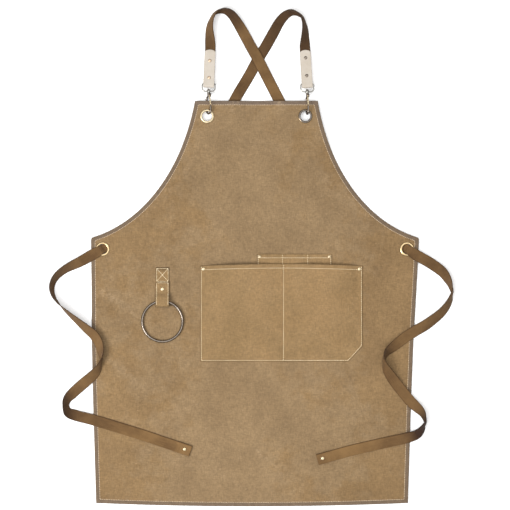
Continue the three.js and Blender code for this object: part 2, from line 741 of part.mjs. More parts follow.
// Columns: across and up are shares of half the width and of the height of the panel,
// roll is the twist about the strap's length in degrees
const shoulderRows = {
  left: [
    { across: -0.274, up: 1.151, roll: 27 },
    { across: -0.277, up: 1.173, roll: 45 },
    { across: -0.272, up: 1.194, roll: 60 },
    { across: -0.254, up: 1.211, roll: 78 },
    { across: -0.223, up: 1.221, roll: 98 },
    { across: -0.183, up: 1.223, roll: 118 },
    { across: -0.146, up: 1.214, roll: 136 },
    { across: -0.11, up: 1.195, roll: 151 },
    { across: -0.07, up: 1.168, roll: 168 },
    { across: -0.027, up: 1.136, roll: 180 },
    { across: 0.018, up: 1.103, roll: 180 },
    { across: 0.07, up: 1.062, roll: 180 },
    { across: 0.136, up: 1.01, roll: 180 },
  ],
  right: [
    { across: 0.305, up: 1.151, roll: -40 },
    { across: 0.306, up: 1.173, roll: -54 },
    { across: 0.301, up: 1.194, roll: -70 },
    { across: 0.284, up: 1.208, roll: -86 },
    { across: 0.256, up: 1.216, roll: -102 },
    { across: 0.223, up: 1.219, roll: -120 },
    { across: 0.188, up: 1.212, roll: -136 },
    { across: 0.15, up: 1.195, roll: -151 },
    { across: 0.109, up: 1.166, roll: -168 },
    { across: 0.067, up: 1.136, roll: -180 },
    { across: 0.018, up: 1.103, roll: -180 },
    { across: -0.037, up: 1.062, roll: -180 },
    { across: -0.113, up: 1.01, roll: -180 },
  ],
};

const hiddenRows = {
  left: [
    { across: 0.204, up: 0.958, roll: 180 },
    { across: 0.323, up: 0.874, roll: 180 },
    { across: 0.5, up: 0.78, roll: 180 },
    { across: 0.67, up: 0.692, roll: 180 },
  ],
  right: [
    { across: -0.177, up: 0.958, roll: -180 },
    { across: -0.305, up: 0.874, roll: -180 },
    { across: -0.494, up: 0.78, roll: -180 },
    { across: -0.67, up: 0.692, roll: -180 },
  ],
};

const tieRows = {
  left: [
    { across: 1.087, up: 0.594, roll: 174 },
    { across: 1.148, up: 0.574, roll: 150 },
    { across: 1.179, up: 0.553, roll: 124 },
    { across: 1.199, up: 0.532, roll: 95 },
    { across: 1.191, up: 0.511, roll: 60 },
    { across: 1.148, up: 0.482, roll: 38 },
    { across: 1.047, up: 0.448, roll: 14 },
    { across: 0.976, up: 0.431, roll: 5 },
    { across: 0.904, up: 0.412, roll: 10 },
    { across: 0.845, up: 0.393, roll: 24 },
    { across: 0.802, up: 0.379, roll: 50 },
    { across: 0.783, up: 0.359, roll: 90 },
    { across: 0.799, up: 0.338, roll: 134 },
    { across: 0.845, up: 0.309, roll: 170 },
    { across: 0.901, up: 0.28, roll: 176 },
    { across: 0.95, up: 0.256, roll: 170 },
    { across: 0.994, up: 0.239, roll: 150 },
    { across: 1.024, up: 0.225, roll: 120 },
    { across: 1.036, up: 0.208, roll: 92 },
    { across: 1.022, up: 0.193, roll: 58 },
    { across: 0.986, up: 0.176, roll: 26 },
    { across: 0.915, up: 0.166, roll: 8 },
    { across: 0.793, up: 0.155, roll: 0 },
    { across: 0.579, up: 0.135, roll: 0 },
  ],
  right: [
    { across: -1.062, up: 0.603, roll: -158 },
    { across: -1.159, up: 0.583, roll: -133 },
    { across: -1.209, up: 0.566, roll: -125 },
    { across: -1.235, up: 0.549, roll: -116 },
    { across: -1.239, up: 0.532, roll: -111 },
    { across: -1.228, up: 0.517, roll: -102 },
    { across: -1.203, up: 0.502, roll: -94 },
    { across: -1.169, up: 0.488, roll: -78 },
    { across: -1.137, up: 0.475, roll: -68 },
    { across: -1.086, up: 0.458, roll: -56 },
    { across: -1.026, up: 0.437, roll: -38 },
    { across: -0.979, up: 0.42, roll: -26 },
    { across: -0.95, up: 0.4, roll: -34 },
    { across: -0.94, up: 0.38, roll: -48 },
    { across: -0.934, up: 0.36, roll: -86 },
    { across: -0.95, up: 0.341, roll: -122 },
    { across: -0.986, up: 0.322, roll: -155 },
    { across: -1.057, up: 0.297, roll: -178 },
    { across: -1.116, up: 0.275, roll: -164 },
    { across: -1.147, up: 0.26, roll: -132 },
    { across: -1.153, up: 0.243, roll: -116 },
    { across: -1.138, up: 0.23, roll: -142 },
    { across: -1.098, up: 0.223, roll: -171 },
    { across: -0.986, up: 0.211, roll: -180 },
    { across: -0.701, up: 0.176, roll: -180 },
  ],
};

// The last point of each strap and the grommet that it comes up through
const strapEnds = {
  left: { grommet: 'side_right', across: 0.381, up: 0.113, exit: [0.835, -0.55] },
  right: { grommet: 'side_left', across: -0.393, up: 0.134, exit: [-0.872, -0.49] },
};

// Rows through the grommet: out is the distance along the strap from the hole's centre
// as a share of its radius, rise the height of the webbing's middle above the ground
function grommetRows(name, [ex, ey], roll) {
  const { x, y } = grommetAt(name);
  const flangeTop = clothLift(x, y) + panelTop + gap + flangeHeight;
  const over = flangeTop + gap + webThickness;
  const flat = webThickness / 2;
  const table = [
    { out: -3.2, z: flat, width: webWidth },
    { out: -1.5, z: flat + 0.05, width: webWidth * 0.94 },
    { out: -0.68, z: flat + 0.15, width: bunchedWidth },
    { out: -0.34, z: flat + 0.8, width: bunchedWidth },
    { out: 0, z: (flat + over) / 2, width: bunchedWidth },
    { out: 0.34, z: over, width: bunchedWidth },
    { out: 0.7, z: over + 0.6, width: bunchedWidth * 1.06 },
    { out: 1.25, z: over + 0.1, width: webWidth * 0.92 },
    { out: 2, z: over - 0.4, width: webWidth },
  ];
  return table.map(({ out, z, width }) => ({
    x: x + out * holeRadius * ex, y: y + out * holeRadius * ey,
    z, width, roll, free: 1, over: out > 1 ? 1 : 0,
  }));
}

// Height of whatever the webbing lies on, with a slope down from the panel's edge
function supportHeight(x, y) {
  const outside = Math.abs(x - middle(y)) - halfWidth(y);
  const margin = webWidth * 0.6;
  return (panelTop + clothLift(x, y) + gap) * fade((outside - margin) / (1.6 * webWidth));
}

const crossing = { x: 0.018 * half, y: 1.103 * panelHeight };

function strapRoute(side) {
  const fromShares = (over, step) => ({ across, up, roll }) => ({
    x: across * half, y: up * panelHeight, z: 0, width: webWidth, roll, free: 0, over, step,
  });
  const frame = tabFrame(side);
  const inTab = [12, 30, 50, tabLength, tabLength + 5].map((along) => {
    const { x, y, z } = frame.localToWorld(new THREE.Vector3(0, along, 0));
    return { x, y, z, width: webWidth - 1, roll: 0, free: 1, over: 0 };
  });
  const { grommet, across, up, exit } = strapEnds[side];
  const roll = hiddenRows[side][0].roll;
  const rows = [
    ...inTab,
    ...shoulderRows[side].map(fromShares(0)),
    ...hiddenRows[side].map(fromShares(0, 45)),
    ...grommetRows(grommet, exit, roll),
    ...tieRows[side].map(fromShares(1)),
  ];
  // The free end is doubled and rests on its rivet's washer
  const last = rows[rows.length - 1];
  const end = { ...last, x: across * half, y: up * panelHeight };
  const length = Math.hypot(end.x - last.x, end.y - last.y);
  const back = (distance, change) => ({
    ...end,
    x: THREE.MathUtils.lerp(end.x, last.x, distance / length),
    y: THREE.MathUtils.lerp(end.y, last.y, distance / length),
    ...change,
  });
  const seat = rivetCap + 2 * gap;
  rows.push(back(endFold * 2, { seat: 0.3 * seat }), back(endFold + 1, { seat }));
  rows.push(back(endFold, { seat, layers: 2 }), { ...end, seat, layers: 2 });
  return { rows, rivet: back(endRivetIn[side], {}) };
}

// Stations along a route, closer together where the strap twists
function strapStations(rows, bump) {
  const curve = new THREE.CatmullRomCurve3(
    rows.map(({ x, y, z }) => new THREE.Vector3(x, y, z)), false, 'centripetal',
  );
  const stations = [];
  const last = rows.length - 1;
  for (let k = 0; k < last; k += 1) {
    const a = rows[k];
    const b = rows[k + 1];
    const length = Math.hypot(b.x - a.x, b.y - a.y);
    const twist = Math.abs(b.roll - a.roll);
    const count = Math.max(1, Math.round(Math.max(length / (a.step ?? 24), twist / 26)));
    for (let s = 0; s < count + (k === last - 1 ? 1 : 0); s += 1) {
      const share = s / count;
      const mix = (key, usual) => THREE.MathUtils.lerp(a[key] ?? usual, b[key] ?? usual, share);
      const point = curve.getPoint((k + share) / last);
      const along = curve.getTangent((k + share) / last);
      const roll = THREE.MathUtils.degToRad(mix('roll', 0));
      const width = mix('width', webWidth);
      const thickness = webThickness * mix('layers', 1);
      const lying = (width * Math.abs(Math.sin(roll)) + thickness * Math.abs(Math.cos(roll))) / 2;
      const support = mix('over', 0) * supportHeight(point.x, point.y) + bump(point.x, point.y);
      const laid = support + lying + mix('seat', 0);
      point.z = Math.max(lying, THREE.MathUtils.lerp(laid, point.z, mix('free', 0)));
      stations.push({ point, along, roll, width, thickness });
    }
  }
  return stations;
}

function ribbon(stations) {
  const sections = stations.map(({ point, along, roll, width, thickness }) => {
    const level = new THREE.Vector3(along.y, -along.x, 0).normalize();
    const across = level.clone().multiplyScalar(Math.cos(roll)).addScaledVector(zAxis, Math.sin(roll));
    const face = zAxis.clone().multiplyScalar(Math.cos(roll)).addScaledVector(level, -Math.sin(roll));
    return [[-1, 1], [1, 1], [1, -1], [-1, -1]].map(([u, v]) => point.clone()
      .addScaledVector(across, (u * width) / 2)
      .addScaledVector(face, (v * thickness) / 2));
  });
  return loft(sections, false, true);
}

function makeStraps() {
  for (const side of ['left', 'right']) {
    const { rows, rivet } = strapRoute(side);
    // The left strap lies on top where the two cross behind the neck
    const bump = (x, y) => {
      const away = Math.hypot(x - crossing.x, y - crossing.y);
      return side === 'left' ? (webThickness + 2 * gap) * fade((away - webWidth) / (2 * webWidth)) : 0;
    };
    let solid = solidFrom(ribbon(strapStations(rows, bump)));
    const frame = tabFrame(side);
    for (const y of tabRivets[side]) {
      const hole = pin(rivetShank + gap, -9, 9, 8).translate(0, y, 0).applyMatrix4(frame.matrixWorld);
      solid = solid.subtract(solidFrom(hole));
    }
    solid = solid.subtract(rivetHole(rivet.x, rivet.y));
    addPiece(`cross_strap_${side}`, geometryFrom(solid), colours.webbing, 0.85, 0);
    const low = supportHeight(rivet.x, rivet.y) + rivetCap + 2 * gap;
    const body = rivetBody(low, low + 2 * webThickness, rivetHead.end);
    addPiece(`tie_end_rivet_${side}`, body, colours.brass, 0.35, 1).position.set(rivet.x, rivet.y, 0);
  }
}

makePanel();
makeGrommets();
makeMainPocket();
makePenPocket();
makeLoop();
makeRing();
makePanelRivets();
makeHooks();
makeStraps();

// The origin is under the middle of the whole apron, on the surface that it lies on
apron.updateMatrixWorld(true);
const bounds = new THREE.Box3().setFromObject(apron, true);
const centre = bounds.getCenter(new THREE.Vector3());
apron.position.set(-centre.x, -centre.y, -bounds.min.z);

export default apron;
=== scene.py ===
import math

import bmesh
import bpy
from mathutils import Matrix, Vector, noise


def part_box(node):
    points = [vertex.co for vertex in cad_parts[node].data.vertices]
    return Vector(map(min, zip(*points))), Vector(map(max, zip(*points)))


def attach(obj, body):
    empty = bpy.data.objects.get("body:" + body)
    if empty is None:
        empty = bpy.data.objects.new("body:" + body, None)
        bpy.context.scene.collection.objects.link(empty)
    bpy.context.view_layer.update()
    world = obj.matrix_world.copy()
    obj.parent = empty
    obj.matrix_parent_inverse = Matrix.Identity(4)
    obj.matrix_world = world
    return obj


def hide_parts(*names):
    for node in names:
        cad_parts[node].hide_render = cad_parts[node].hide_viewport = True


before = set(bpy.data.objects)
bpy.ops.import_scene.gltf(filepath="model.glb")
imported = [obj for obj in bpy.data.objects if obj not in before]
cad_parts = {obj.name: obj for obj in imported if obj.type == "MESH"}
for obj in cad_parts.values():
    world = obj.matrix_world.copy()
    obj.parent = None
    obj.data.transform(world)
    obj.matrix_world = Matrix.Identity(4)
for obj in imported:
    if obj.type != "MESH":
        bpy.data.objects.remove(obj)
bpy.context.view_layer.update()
scene = bpy.context.scene

# Sizes are in millimetres from the middle of the apron's bottom hem, and placed by toFrame
panel = {
    "height": 850, "width": 690, "bib": 258, "bottom": 656, "hip": 562, "bow": 7, "cloth": 1.0,
    "top": 3.0,  # upper side of the cloth, over the folded hem
    "stitchIn": 8.6, "cell": 4.4, "hole": 12.2,
    "wave": 0.75, "waveLength": 95,  # soft undulation of the cloth
    "fineWave": 0.22, "fineLength": 34, "armholeLength": 365,
}
gap = 0.3
panelLow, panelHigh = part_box("apron_panel")
shift = Vector((panelLow.x * 1000 + panel["width"] / 2, panelHigh.y * 1000 - panel["height"], 0))
toFrame = Matrix.Scale(0.001, 4) @ Matrix.Translation(shift)
panelTop = panelHigh.y


def mix(a, b, share):
    return a + (b - a) * share


def fade(share):
    return 0.5 + 0.5 * math.cos(math.pi * min(max(share, 0), 1))


def table(rows, value, column=1):  # straight lines between the rows of a table
    if value <= rows[0][0]:
        return rows[0][column]
    for low, high in zip(rows, rows[1:]):
        if value <= high[0]:
            return mix(low[column], high[column], (value - low[0]) / (high[0] - low[0]))
    return rows[-1][column]


def spline(points, place):  # smooth curve through points, as the straps and wires run
    k = min(int(place), len(points) - 2)
    share = place - k
    b, c = points[k], points[k + 1]
    a = points[k - 1] if k > 0 else 2 * b - c
    d = points[k + 2] if k + 2 < len(points) else 2 * c - b
    span = [max(math.sqrt((q - p).length), 1e-3) for p, q in ((a, b), (b, c), (c, d))]
    start = ((b - a) / span[0] - (c - a) / (span[0] + span[1]) + (c - b) / span[1]) * span[1]
    end = ((c - b) / span[1] - (d - b) / (span[1] + span[2]) + (d - c) / span[2]) * span[1]
    two = share * share
    three = two * share
    return (b + start * share + (-3 * b + 3 * c - 2 * start - end) * two
            + (2 * b - 2 * c + start + end) * three)


def smoothPath(points, step):
    path = []
    for k in range(len(points) - 1):
        count = max(1, round((points[k + 1] - points[k]).length / step))
        path += [spline(points, k + s / count) for s in range(count)]
    return path + [points[-1]]


def spacing(marks, step):  # the marks, with even steps of about one length between them
    steps = []
    for a, b in zip(marks, marks[1:]):
        count = max(1, round(abs(b - a) / step))
        steps += [mix(a, b, k / count) for k in range(count)]
    return steps + [marks[-1]]


# Outline of the panel

sway = [(0, -0.009), (0.24, -0.009), (0.4, -0.0075), (0.53, -0.003), (0.66, 0), (1, 0.0042)]
rise = panel["height"] - panel["hip"]
run = (panel["width"] - panel["bib"]) / 2
armholeKnots = [
    Vector((panel["width"] / 2, panel["hip"])),
    Vector((panel["bib"] / 2 + 0.482 * run, panel["hip"] + 0.114 * rise)),
    Vector((panel["bib"] / 2 + 0.114 * run, panel["hip"] + 0.511 * rise)),
    Vector((panel["bib"] / 2, panel["height"])),
]


def bezier(knots, t):
    a, b, c, d = knots
    return ((1 - t) ** 3 * a + 3 * t * (1 - t) ** 2 * b + 3 * t * t * (1 - t) * c + t ** 3 * d)


armhole = [(p.y, p.x) for p in (bezier(armholeKnots, k / 60) for k in range(61))]
sides = [(0, panel["bottom"] / 2)] + armhole


def middle(y):
    return panel["width"] * table(sway, y / panel["height"])


def halfWidth(y):
    return table(sides, y)


def insetHalf(y, border):  # half width inside a border of one breadth along the edge
    if border == 0:
        return halfWidth(y)
    least = 1e9
    for k in range(-8, 9):
        along = border * k / 8
        reach = math.sqrt(border * border - along * along)
        least = min(least, halfWidth(min(y + along, panel["height"])) - reach)
    return least


def bowed(x, y):  # the bottom corners sit a little above the middle
    outer = halfWidth(y)
    share = ((x - middle(y)) / outer) ** 2 - 0.4
    return y + panel["bow"] * share * max(0, 1 - y / panel["hip"])


grommetPlaces = {}
for side, sign in (("left", -1), ("right", 1)):
    topY = panel["height"] - 32.4
    sideY = panel["hip"] - 23.4
    grommetPlaces["top_" + side] = (middle(topY) + sign * (panel["bib"] / 2 - 25.8), topY)
    grommetPlaces["side_" + side] = (middle(sideY) + sign * (panel["width"] / 2 - 25), sideY)

hook = {
    "wire": 4, "throat": 12, "reach": 47, "offset": {"left": 3.4, "right": 4},
    "lean": {"left": 33, "right": 14}, "sway": 35, "leg": 8,
    "pivot": (-8.6, 2.9), "noseTip": -29.4, "gateTip": -28.4, "gateWire": 2.8,
    "gateFinish": 0.2,  # plating that rounds the gate out
}
swivelHeight = 0.1 + hook["wire"] + hook["throat"] / 2
hookLift = swivelHeight - hook["leg"] * math.cos(math.radians(hook["sway"])) + 2 + gap
lifts = {"top": (hookLift, 50, 115), "side": (2.0, 45, 80)}  # height, flat part, reach


def clothLift(x, y):
    most = 0
    for name, (gx, gy) in grommetPlaces.items():
        height, flat, reach = lifts[name.split("_")[0]]
        away = math.hypot(x - gx, y - gy)
        if away < reach:
            most = max(most, height * fade((away - flat) / (reach - flat)))
    return most


# Faint creases: from, to, breadth and height
creases = [
    ((-322, 452), (-262, 414), 5, 0.5),
    ((-318, 440), (-236, 388), 4, 0.35),
    ((-300, 300), (-170, 205), 16, 0.3),
    ((8, 112), (64, 60), 4, 0.5),
    ((150, 690), (236, 596), 20, 0.3),
    ((-150, 700), (-238, 604), 18, 0.3),
    ((-60, 780), (70, 742), 22, 0.25),
    ((190, 196), (292, 96), 18, 0.25),
    ((-240, 120), (-60, 60), 20, 0.25),
    ((45, 856), (60, 832), 10, 0.6),  # where the straps run on under the bib
    ((-37, 856), (-52, 832), 10, 0.6),
]


def creaseHeight(x, y):
    total = 0
    for (ax, ay), (bx, by), breadth, height in creases:
        dx, dy = bx - ax, by - ay
        long = math.hypot(dx, dy)
        along = ((x - ax) * dx + (y - ay) * dy) / long
        across = ((x - ax) * dy - (y - ay) * dx) / long
        if abs(across) < 2.5 * breadth and -0.3 * long < along < 1.3 * long:
            ends = fade(max(-along, along - long, 0) / (0.3 * long))
            total += height * ends * math.exp(-(across / breadth) ** 2)
    return total


flatPlaces = [(-194.6, 390, 48, 95)] + [(x, y, 17, 40) for x, y in grommetPlaces.values()]


def wave(x, y):  # how far the cloth stands off an even sheet
    length, short = panel["waveLength"], panel["fineLength"]
    broad = noise.noise(Vector((x / length, y / length, 3.7)))
    fine = noise.noise(Vector((x / short, y / short, 9.1)))
    calm = 1.0
    for cx, cy, flat, reach in flatPlaces:
        calm = min(calm, 1 - fade((math.hypot(x - cx, y - cy) - flat) / (reach - flat)))
    return calm * (panel["wave"] * broad + panel["fineWave"] * fine + creaseHeight(x, y))


def clothTop(x, y):
    return panel["top"] + clothLift(x, y) + wave(x, y)


# Making a piece from its mesh

def makePiece(bm, name, body, finish, nodes=(), place=toFrame):
    bmesh.ops.transform(bm, matrix=place, verts=bm.verts)
    mesh = bpy.data.meshes.new(name)
    bm.to_mesh(mesh)
    bm.free()
    mesh.polygons.foreach_set("use_smooth", [True] * len(mesh.polygons))
    obj = bpy.data.objects.new(name, mesh)
    scene.collection.objects.link(obj)
    for one in finish if isinstance(finish, tuple) else (finish,):
        mesh.materials.append(one)
    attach(obj, body)
    if nodes:
        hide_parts(*nodes)
    return obj


def thicken(obj, thickness, bevel=0.0):
    wall = obj.modifiers.new("Thickness", "SOLIDIFY")
    wall.thickness = thickness * 0.001
    wall.offset = 0
    if bevel:
        soft = obj.modifiers.new("Edges", "BEVEL")
        soft.width = bevel * 0.001
        soft.segments = 2
        soft.limit_method = "ANGLE"
        soft.angle_limit = math.radians(50)


def gridPiece(columns, rows, corner, marks=None):
    # A sheet of columns by rows, whose corners are put in place by corner(i, j)
    bm = bmesh.new()
    marks = marks or {}
    layers = {key: bm.verts.layers.float.new(key) for key in marks}
    bmesh.ops.create_grid(bm, x_segments=columns - 1, y_segments=rows - 1, size=0.5)
    uv = bm.loops.layers.uv.new("UVMap")
    index = {}
    for vert in bm.verts:
        i = round((vert.co.x + 0.5) * (columns - 1))
        j = round((vert.co.y + 0.5) * (rows - 1))
        index[vert] = (i, j)
        vert.co = corner(i, j)
        for key, value in marks.items():
            vert[layers[key]] = value(i, j)
    return bm, uv, index


def turned(bm, profile, matrix=None, steps=48):  # a round body about Z from radius and height
    verts = [bm.verts.new((r, 0, z)) for r, z in profile]
    edges = [bm.edges.new(pair) for pair in zip(verts, verts[1:])]
    if (Vector(profile[0]) - Vector(profile[-1])).length < 1e-6:
        bmesh.ops.pointmerge(bm, verts=[verts[0], verts[-1]], merge_co=verts[0].co)
        verts = verts[:-1]
        edges = [e for e in edges if e.is_valid]
    before = {v for v in bm.verts} - set(verts)
    bmesh.ops.spin(
        bm, geom=verts + edges, cent=(0, 0, 0), axis=(0, 0, 1), angle=2 * math.pi,
        steps=steps, use_merge=True,
    )
    made = [v for v in bm.verts if v not in before]
    bmesh.ops.remove_doubles(bm, verts=made, dist=1e-4)
    made = [v for v in bm.verts if v not in before]
    faces = list({f for v in made for f in v.link_faces})
    bmesh.ops.recalc_face_normals(bm, faces=faces)
    if matrix:
        bmesh.ops.transform(bm, matrix=matrix, verts=made)


def sectionFrame(path, k, normal, radius, closed):
    count = len(path)
    before = path[(k - 1) % count] if closed or k > 0 else path[k]
    after = path[(k + 1) % count] if closed or k < count - 1 else path[k]
    along = (after - before).normalized()
    across = along.cross(normal).normalized()
    turn = Matrix((across, normal, along)).transposed().to_4x4()
    return Matrix.Translation(path[k]) @ turn @ Matrix.Scale(radius, 4)


def sweep(bm, path, radii, normal, sides=16, closed=False):  # a wire along a flat path
    if isinstance(radii, (int, float)):
        radii = [radii] * len(path)
    frames = [sectionFrame(path, k, normal, radii[k], closed) for k in range(len(path))]
    circle = bmesh.ops.create_circle(bm, segments=sides, radius=1, matrix=frames[0])["verts"]
    made = list(circle)
    first = list({e for v in circle for e in v.link_edges})
    edges = first
    for low, high in zip(frames, frames[1:]):
        out = bmesh.ops.extrude_edge_only(bm, edges=edges)["geom"]
        verts = [g for g in out if isinstance(g, bmesh.types.BMVert)]
        edges = [g for g in out if isinstance(g, bmesh.types.BMEdge)]
        bmesh.ops.transform(bm, matrix=high @ low.inverted(), verts=verts)
        made += verts
    if closed:
        bmesh.ops.bridge_loops(bm, edges=first + edges)
    else:
        bmesh.ops.holes_fill(bm, edges=first + edges, sides=0)
    faces = list({f for v in made for f in v.link_faces})
    bmesh.ops.recalc_face_normals(bm, faces=faces)


def roundEnds(path, radius):  # the path with both its ends drawn out into half balls
    lead = (path[0] - path[1]).normalized()
    trail = (path[-1] - path[-2]).normalized()
    steps = [math.radians(a) for a in (12, 38, 66)]
    points = [path[0] + lead * radius * math.cos(a) for a in steps] + path
    points += [path[-1] + trail * radius * math.cos(a) for a in reversed(steps)]
    caps = [radius * math.sin(a) for a in steps]
    return points, caps + [radius] * len(path) + caps[::-1]


# Materials

def linear(red, green, blue):
    share = [c / 255 for c in (red, green, blue)]
    return [c / 12.92 if c <= 0.04045 else ((c + 0.055) / 1.055) ** 2.4 for c in share] + [1]


class Look:  # a material with its shader, and short calls for its nodes
    def __init__(self, name):
        self.material = bpy.data.materials.new(name)
        self.material.use_nodes = True
        self.tree = self.material.node_tree
        self.shader = self.tree.nodes["Principled BSDF"]

    def node(self, kind, inputs=None, **settings):
        made = self.tree.nodes.new(kind)
        for key, value in settings.items():
            setattr(made, key, value)
        for key, value in (inputs or {}).items():
            if isinstance(value, bpy.types.NodeSocket):
                self.tree.links.new(value, made.inputs[key])
            else:
                made.inputs[key].default_value = value
        return made

    def objectPlace(self):
        return self.node("ShaderNodeTexCoord").outputs["Object"]

    def stretched(self, vector, scale):
        return self.node("ShaderNodeMapping", {"Vector": vector, "Scale": scale}).outputs[0]

    def noise(self, vector, scale, detail=3, rough=0.55):
        made = self.node("ShaderNodeTexNoise", {
            "Vector": vector, "Scale": scale, "Detail": detail, "Roughness": rough})
        return made.outputs[0]

    def span(self, value, low, high, outLow=0.0, outHigh=1.0):
        return self.node("ShaderNodeMapRange", {
            "Value": value, "From Min": low, "From Max": high,
            "To Min": outLow, "To Max": outHigh}).outputs[0]

    def blend(self, share, a, b, kind="MIX"):
        made = self.node("ShaderNodeMix", data_type="RGBA", blend_type=kind)
        for key, value in ((0, share), (6, a), (7, b)):
            if isinstance(value, bpy.types.NodeSocket):
                self.tree.links.new(value, made.inputs[key])
            else:
                made.inputs[key].default_value = value
        return made.outputs[2]

    def math(self, kind, a, b):
        return self.node("ShaderNodeMath", {0: a, 1: b}, operation=kind).outputs[0]

    def cloud(self, place, scale, detail, rough, low, high, outLow=0.0, outHigh=1.0):
        return self.span(self.noise(place, scale, detail, rough), low, high, outLow, outHigh)

    def cover(self, under, over, share, most):
        return self.blend(self.math("MULTIPLY", share, most), under, over)

    def toned(self, colour, tone):  # lighter or darker by a factor that varies
        grey = self.node("ShaderNodeCombineColor", {0: tone, 1: tone, 2: tone}).outputs[0]
        return self.blend(1.0, colour, grey, "MULTIPLY")

    def waves(self, vector, period, distortion, axis, detailScale=1.0):
        return self.node("ShaderNodeTexWave", {
            "Vector": vector, "Scale": math.pi / 10 / period, "Distortion": distortion,
            "Detail": 1.0, "Detail Scale": detailScale}, bands_direction=axis).outputs["Fac"]

    def mark(self, name):
        return self.node("ShaderNodeAttribute", attribute_name=name).outputs["Fac"]

    def bump(self, height, strength, distance, under=None):
        inputs = {"Height": height, "Strength": strength, "Distance": distance}
        if under:
            inputs["Normal"] = under
        return self.node("ShaderNodeBump", inputs).outputs[0]

    def set(self, **values):
        for key, value in values.items():
            socket = self.shader.inputs[key.replace("_", " ")]
            if isinstance(value, bpy.types.NodeSocket):
                self.tree.links.new(value, socket)
            else:
                socket.default_value = value
        return self.material


canvasLook = {
    "thread": 0.0011,  # metres from one thread to the next
    # dark, light and hem: the hem colour is partly the folded hem's own and partly painted shade at
    # its rolled edge
    "panel": (linear(120, 98, 70), linear(135, 112, 82), linear(102, 87, 72)),
    # the pocket's third colour is painted shade along the edges of the pockets and the loop
    "pocket": (linear(124, 100, 67), linear(139, 113, 79), linear(84, 66, 44)),
    "topHem": linear(104, 90, 78),
    "fleck": linear(170, 146, 116),
    "warm": (0.9, 0.85, 0.76, 1),  # tint towards the sides and round the loop
    "patches": (9, 6, 0.62, 0.36, 0.64),  # scale, detail, roughness, from, to
    "worn": ((34, 7, 0.72, 0.5, 0.72), 0.6),  # the same, and the most that it covers
    "rubbed": ((75, 6, 0.78, 0.54, 0.72), 0.75),
    "flecks": ((190, 4, 0.7, 0.6, 0.74), 0.34),
    "hemAndEdgeShadeCover": 0.9, "creaseCover": 0.36,
    "slub": (420, 130), "slubTone": (0.76, 1.24),  # across and along the thread
}


def canvasMaterial(name, dark, light, hem, border, warmest):
    look = Look(name)
    place = look.objectPlace()
    across, up = look.node("ShaderNodeSeparateXYZ", {0: place}).outputs[:2]
    colour = look.blend(look.cloud(place, *canvasLook["patches"]), dark, light)
    for key, over in (("worn", light), ("rubbed", dark), ("flecks", canvasLook["fleck"])):
        spots, most = canvasLook[key]
        colour = look.cover(colour, over, look.cloud(place, *spots), most)
    blotches = look.cloud(place, 4.5, 3, 0.55, 0.4, 0.6, -0.12, 0.12)
    mottle = look.cloud(place, 21, 5, 0.7, 0.38, 0.62, -0.13, 0.13)
    aside = look.math("ADD", look.math("ABSOLUTE", across, 0), look.math("ADD", blotches, mottle))
    warmth = look.span(aside, 0.1, 0.3, 0, warmest)
    colour = look.blend(warmth, colour, canvasLook["warm"], "MULTIPLY")
    # within the border the hem colour is laid over: painted shade along the edges of the pockets
    # and the loop, and on the panel partly the hem's own colour and partly painted shade at its
    # rolled edge
    hemAndEdgeShadeShare = look.span(look.mark("edge"), border - 1.2, border, canvasLook["hemAndEdgeShadeCover"], 0)
    topShare = look.span(up, panelTop - 0.0105, panelTop - 0.0095)
    hemAndEdgeShadeColour = look.blend(topShare, hem, canvasLook["topHem"])
    colour = look.blend(hemAndEdgeShadeShare, colour, hemAndEdgeShadeColour)
    creased = look.span(look.mark("crease"), 0.15, 0.5, 0, canvasLook["creaseCover"])
    broken = look.cloud(place, 110, 4, 0.7, 0.44, 0.62)
    colour = look.cover(colour, canvasLook["fleck"], creased, broken)
    fine, coarse = canvasLook["slub"]
    warp = look.noise(look.stretched(place, (fine, coarse, 100)), 1, 3, 0.7)
    weft = look.noise(look.stretched(place, (coarse, fine, 100)), 1, 3, 0.7)
    slubs = look.span(look.math("ADD", warp, weft), 0.7, 1.3, *canvasLook["slubTone"])
    colour = look.toned(colour, slubs)
    weave = look.math("MAXIMUM", *[
        look.waves(place, canvasLook["thread"], 0.6, axis, 2.0) for axis in ("X", "Y")])
    under = look.bump(look.noise(place, 34, 6, 0.65), 0.22, 0.004)
    normal = look.bump(weave, 0.35, 0.00025, under)
    roughness = look.cloud(place, 18, 4, 0.55, 0.3, 0.7, 0.78, 0.95)
    return look.set(Base_Color=colour, Roughness=roughness, Normal=normal, Sheen_Weight=0.04,
                    Sheen_Roughness=0.5, Specular_IOR_Level=0.2)


webLook = {
    "dark": linear(100, 74, 45), "light": linear(129, 99, 62), "rib": 0.0014,
    "edgeShade": linear(68, 46, 26), "shadeTint": (0.15, 0.1, 0.14, 1), "shadeMost": 0.82,
}


def webbingMaterial(name):
    look = Look(name)
    along = look.node("ShaderNodeTexCoord").outputs["UV"]
    place = look.objectPlace()
    patches = look.cloud(place, 16, 4, 0.6, 0.36, 0.64)
    colour = look.blend(patches, webLook["dark"], webLook["light"])
    faded = look.cloud(look.stretched(along, (500, 45, 1)), 1, 3, 0.55, 0.45, 0.7)
    colour = look.cover(colour, webLook["light"], faded, 0.3)
    # painted shade along both edges of the strap
    border = look.span(look.mark("edge"), 0.0, 1.8, 0.78, 0)
    colour = look.blend(border, colour, webLook["edgeShade"])
    # painted shade: the webbing is drawn darker row by row, most where it turns on edge
    shade = look.math("MULTIPLY", look.mark("shade"), webLook["shadeMost"])
    colour = look.blend(shade, colour, webLook["shadeTint"], "MULTIPLY")
    ribs = look.waves(along, webLook["rib"], 0.8, "X")
    picks = look.waves(along, webLook["rib"] / 1.35, 0.6, "Y")
    weave = look.math("MULTIPLY", ribs, picks)
    colour = look.toned(colour, look.span(weave, 0.0, 0.6, 0.82, 1.08))
    normal = look.bump(weave, 0.6, 0.0004)
    return look.set(Base_Color=colour, Roughness=0.86, Normal=normal, Sheen_Weight=0.04,
                    Specular_IOR_Level=0.2)


leatherLook = {
    "pale": linear(184, 175, 163), "tan": linear(168, 156, 139), "edge": linear(116, 98, 80),
}


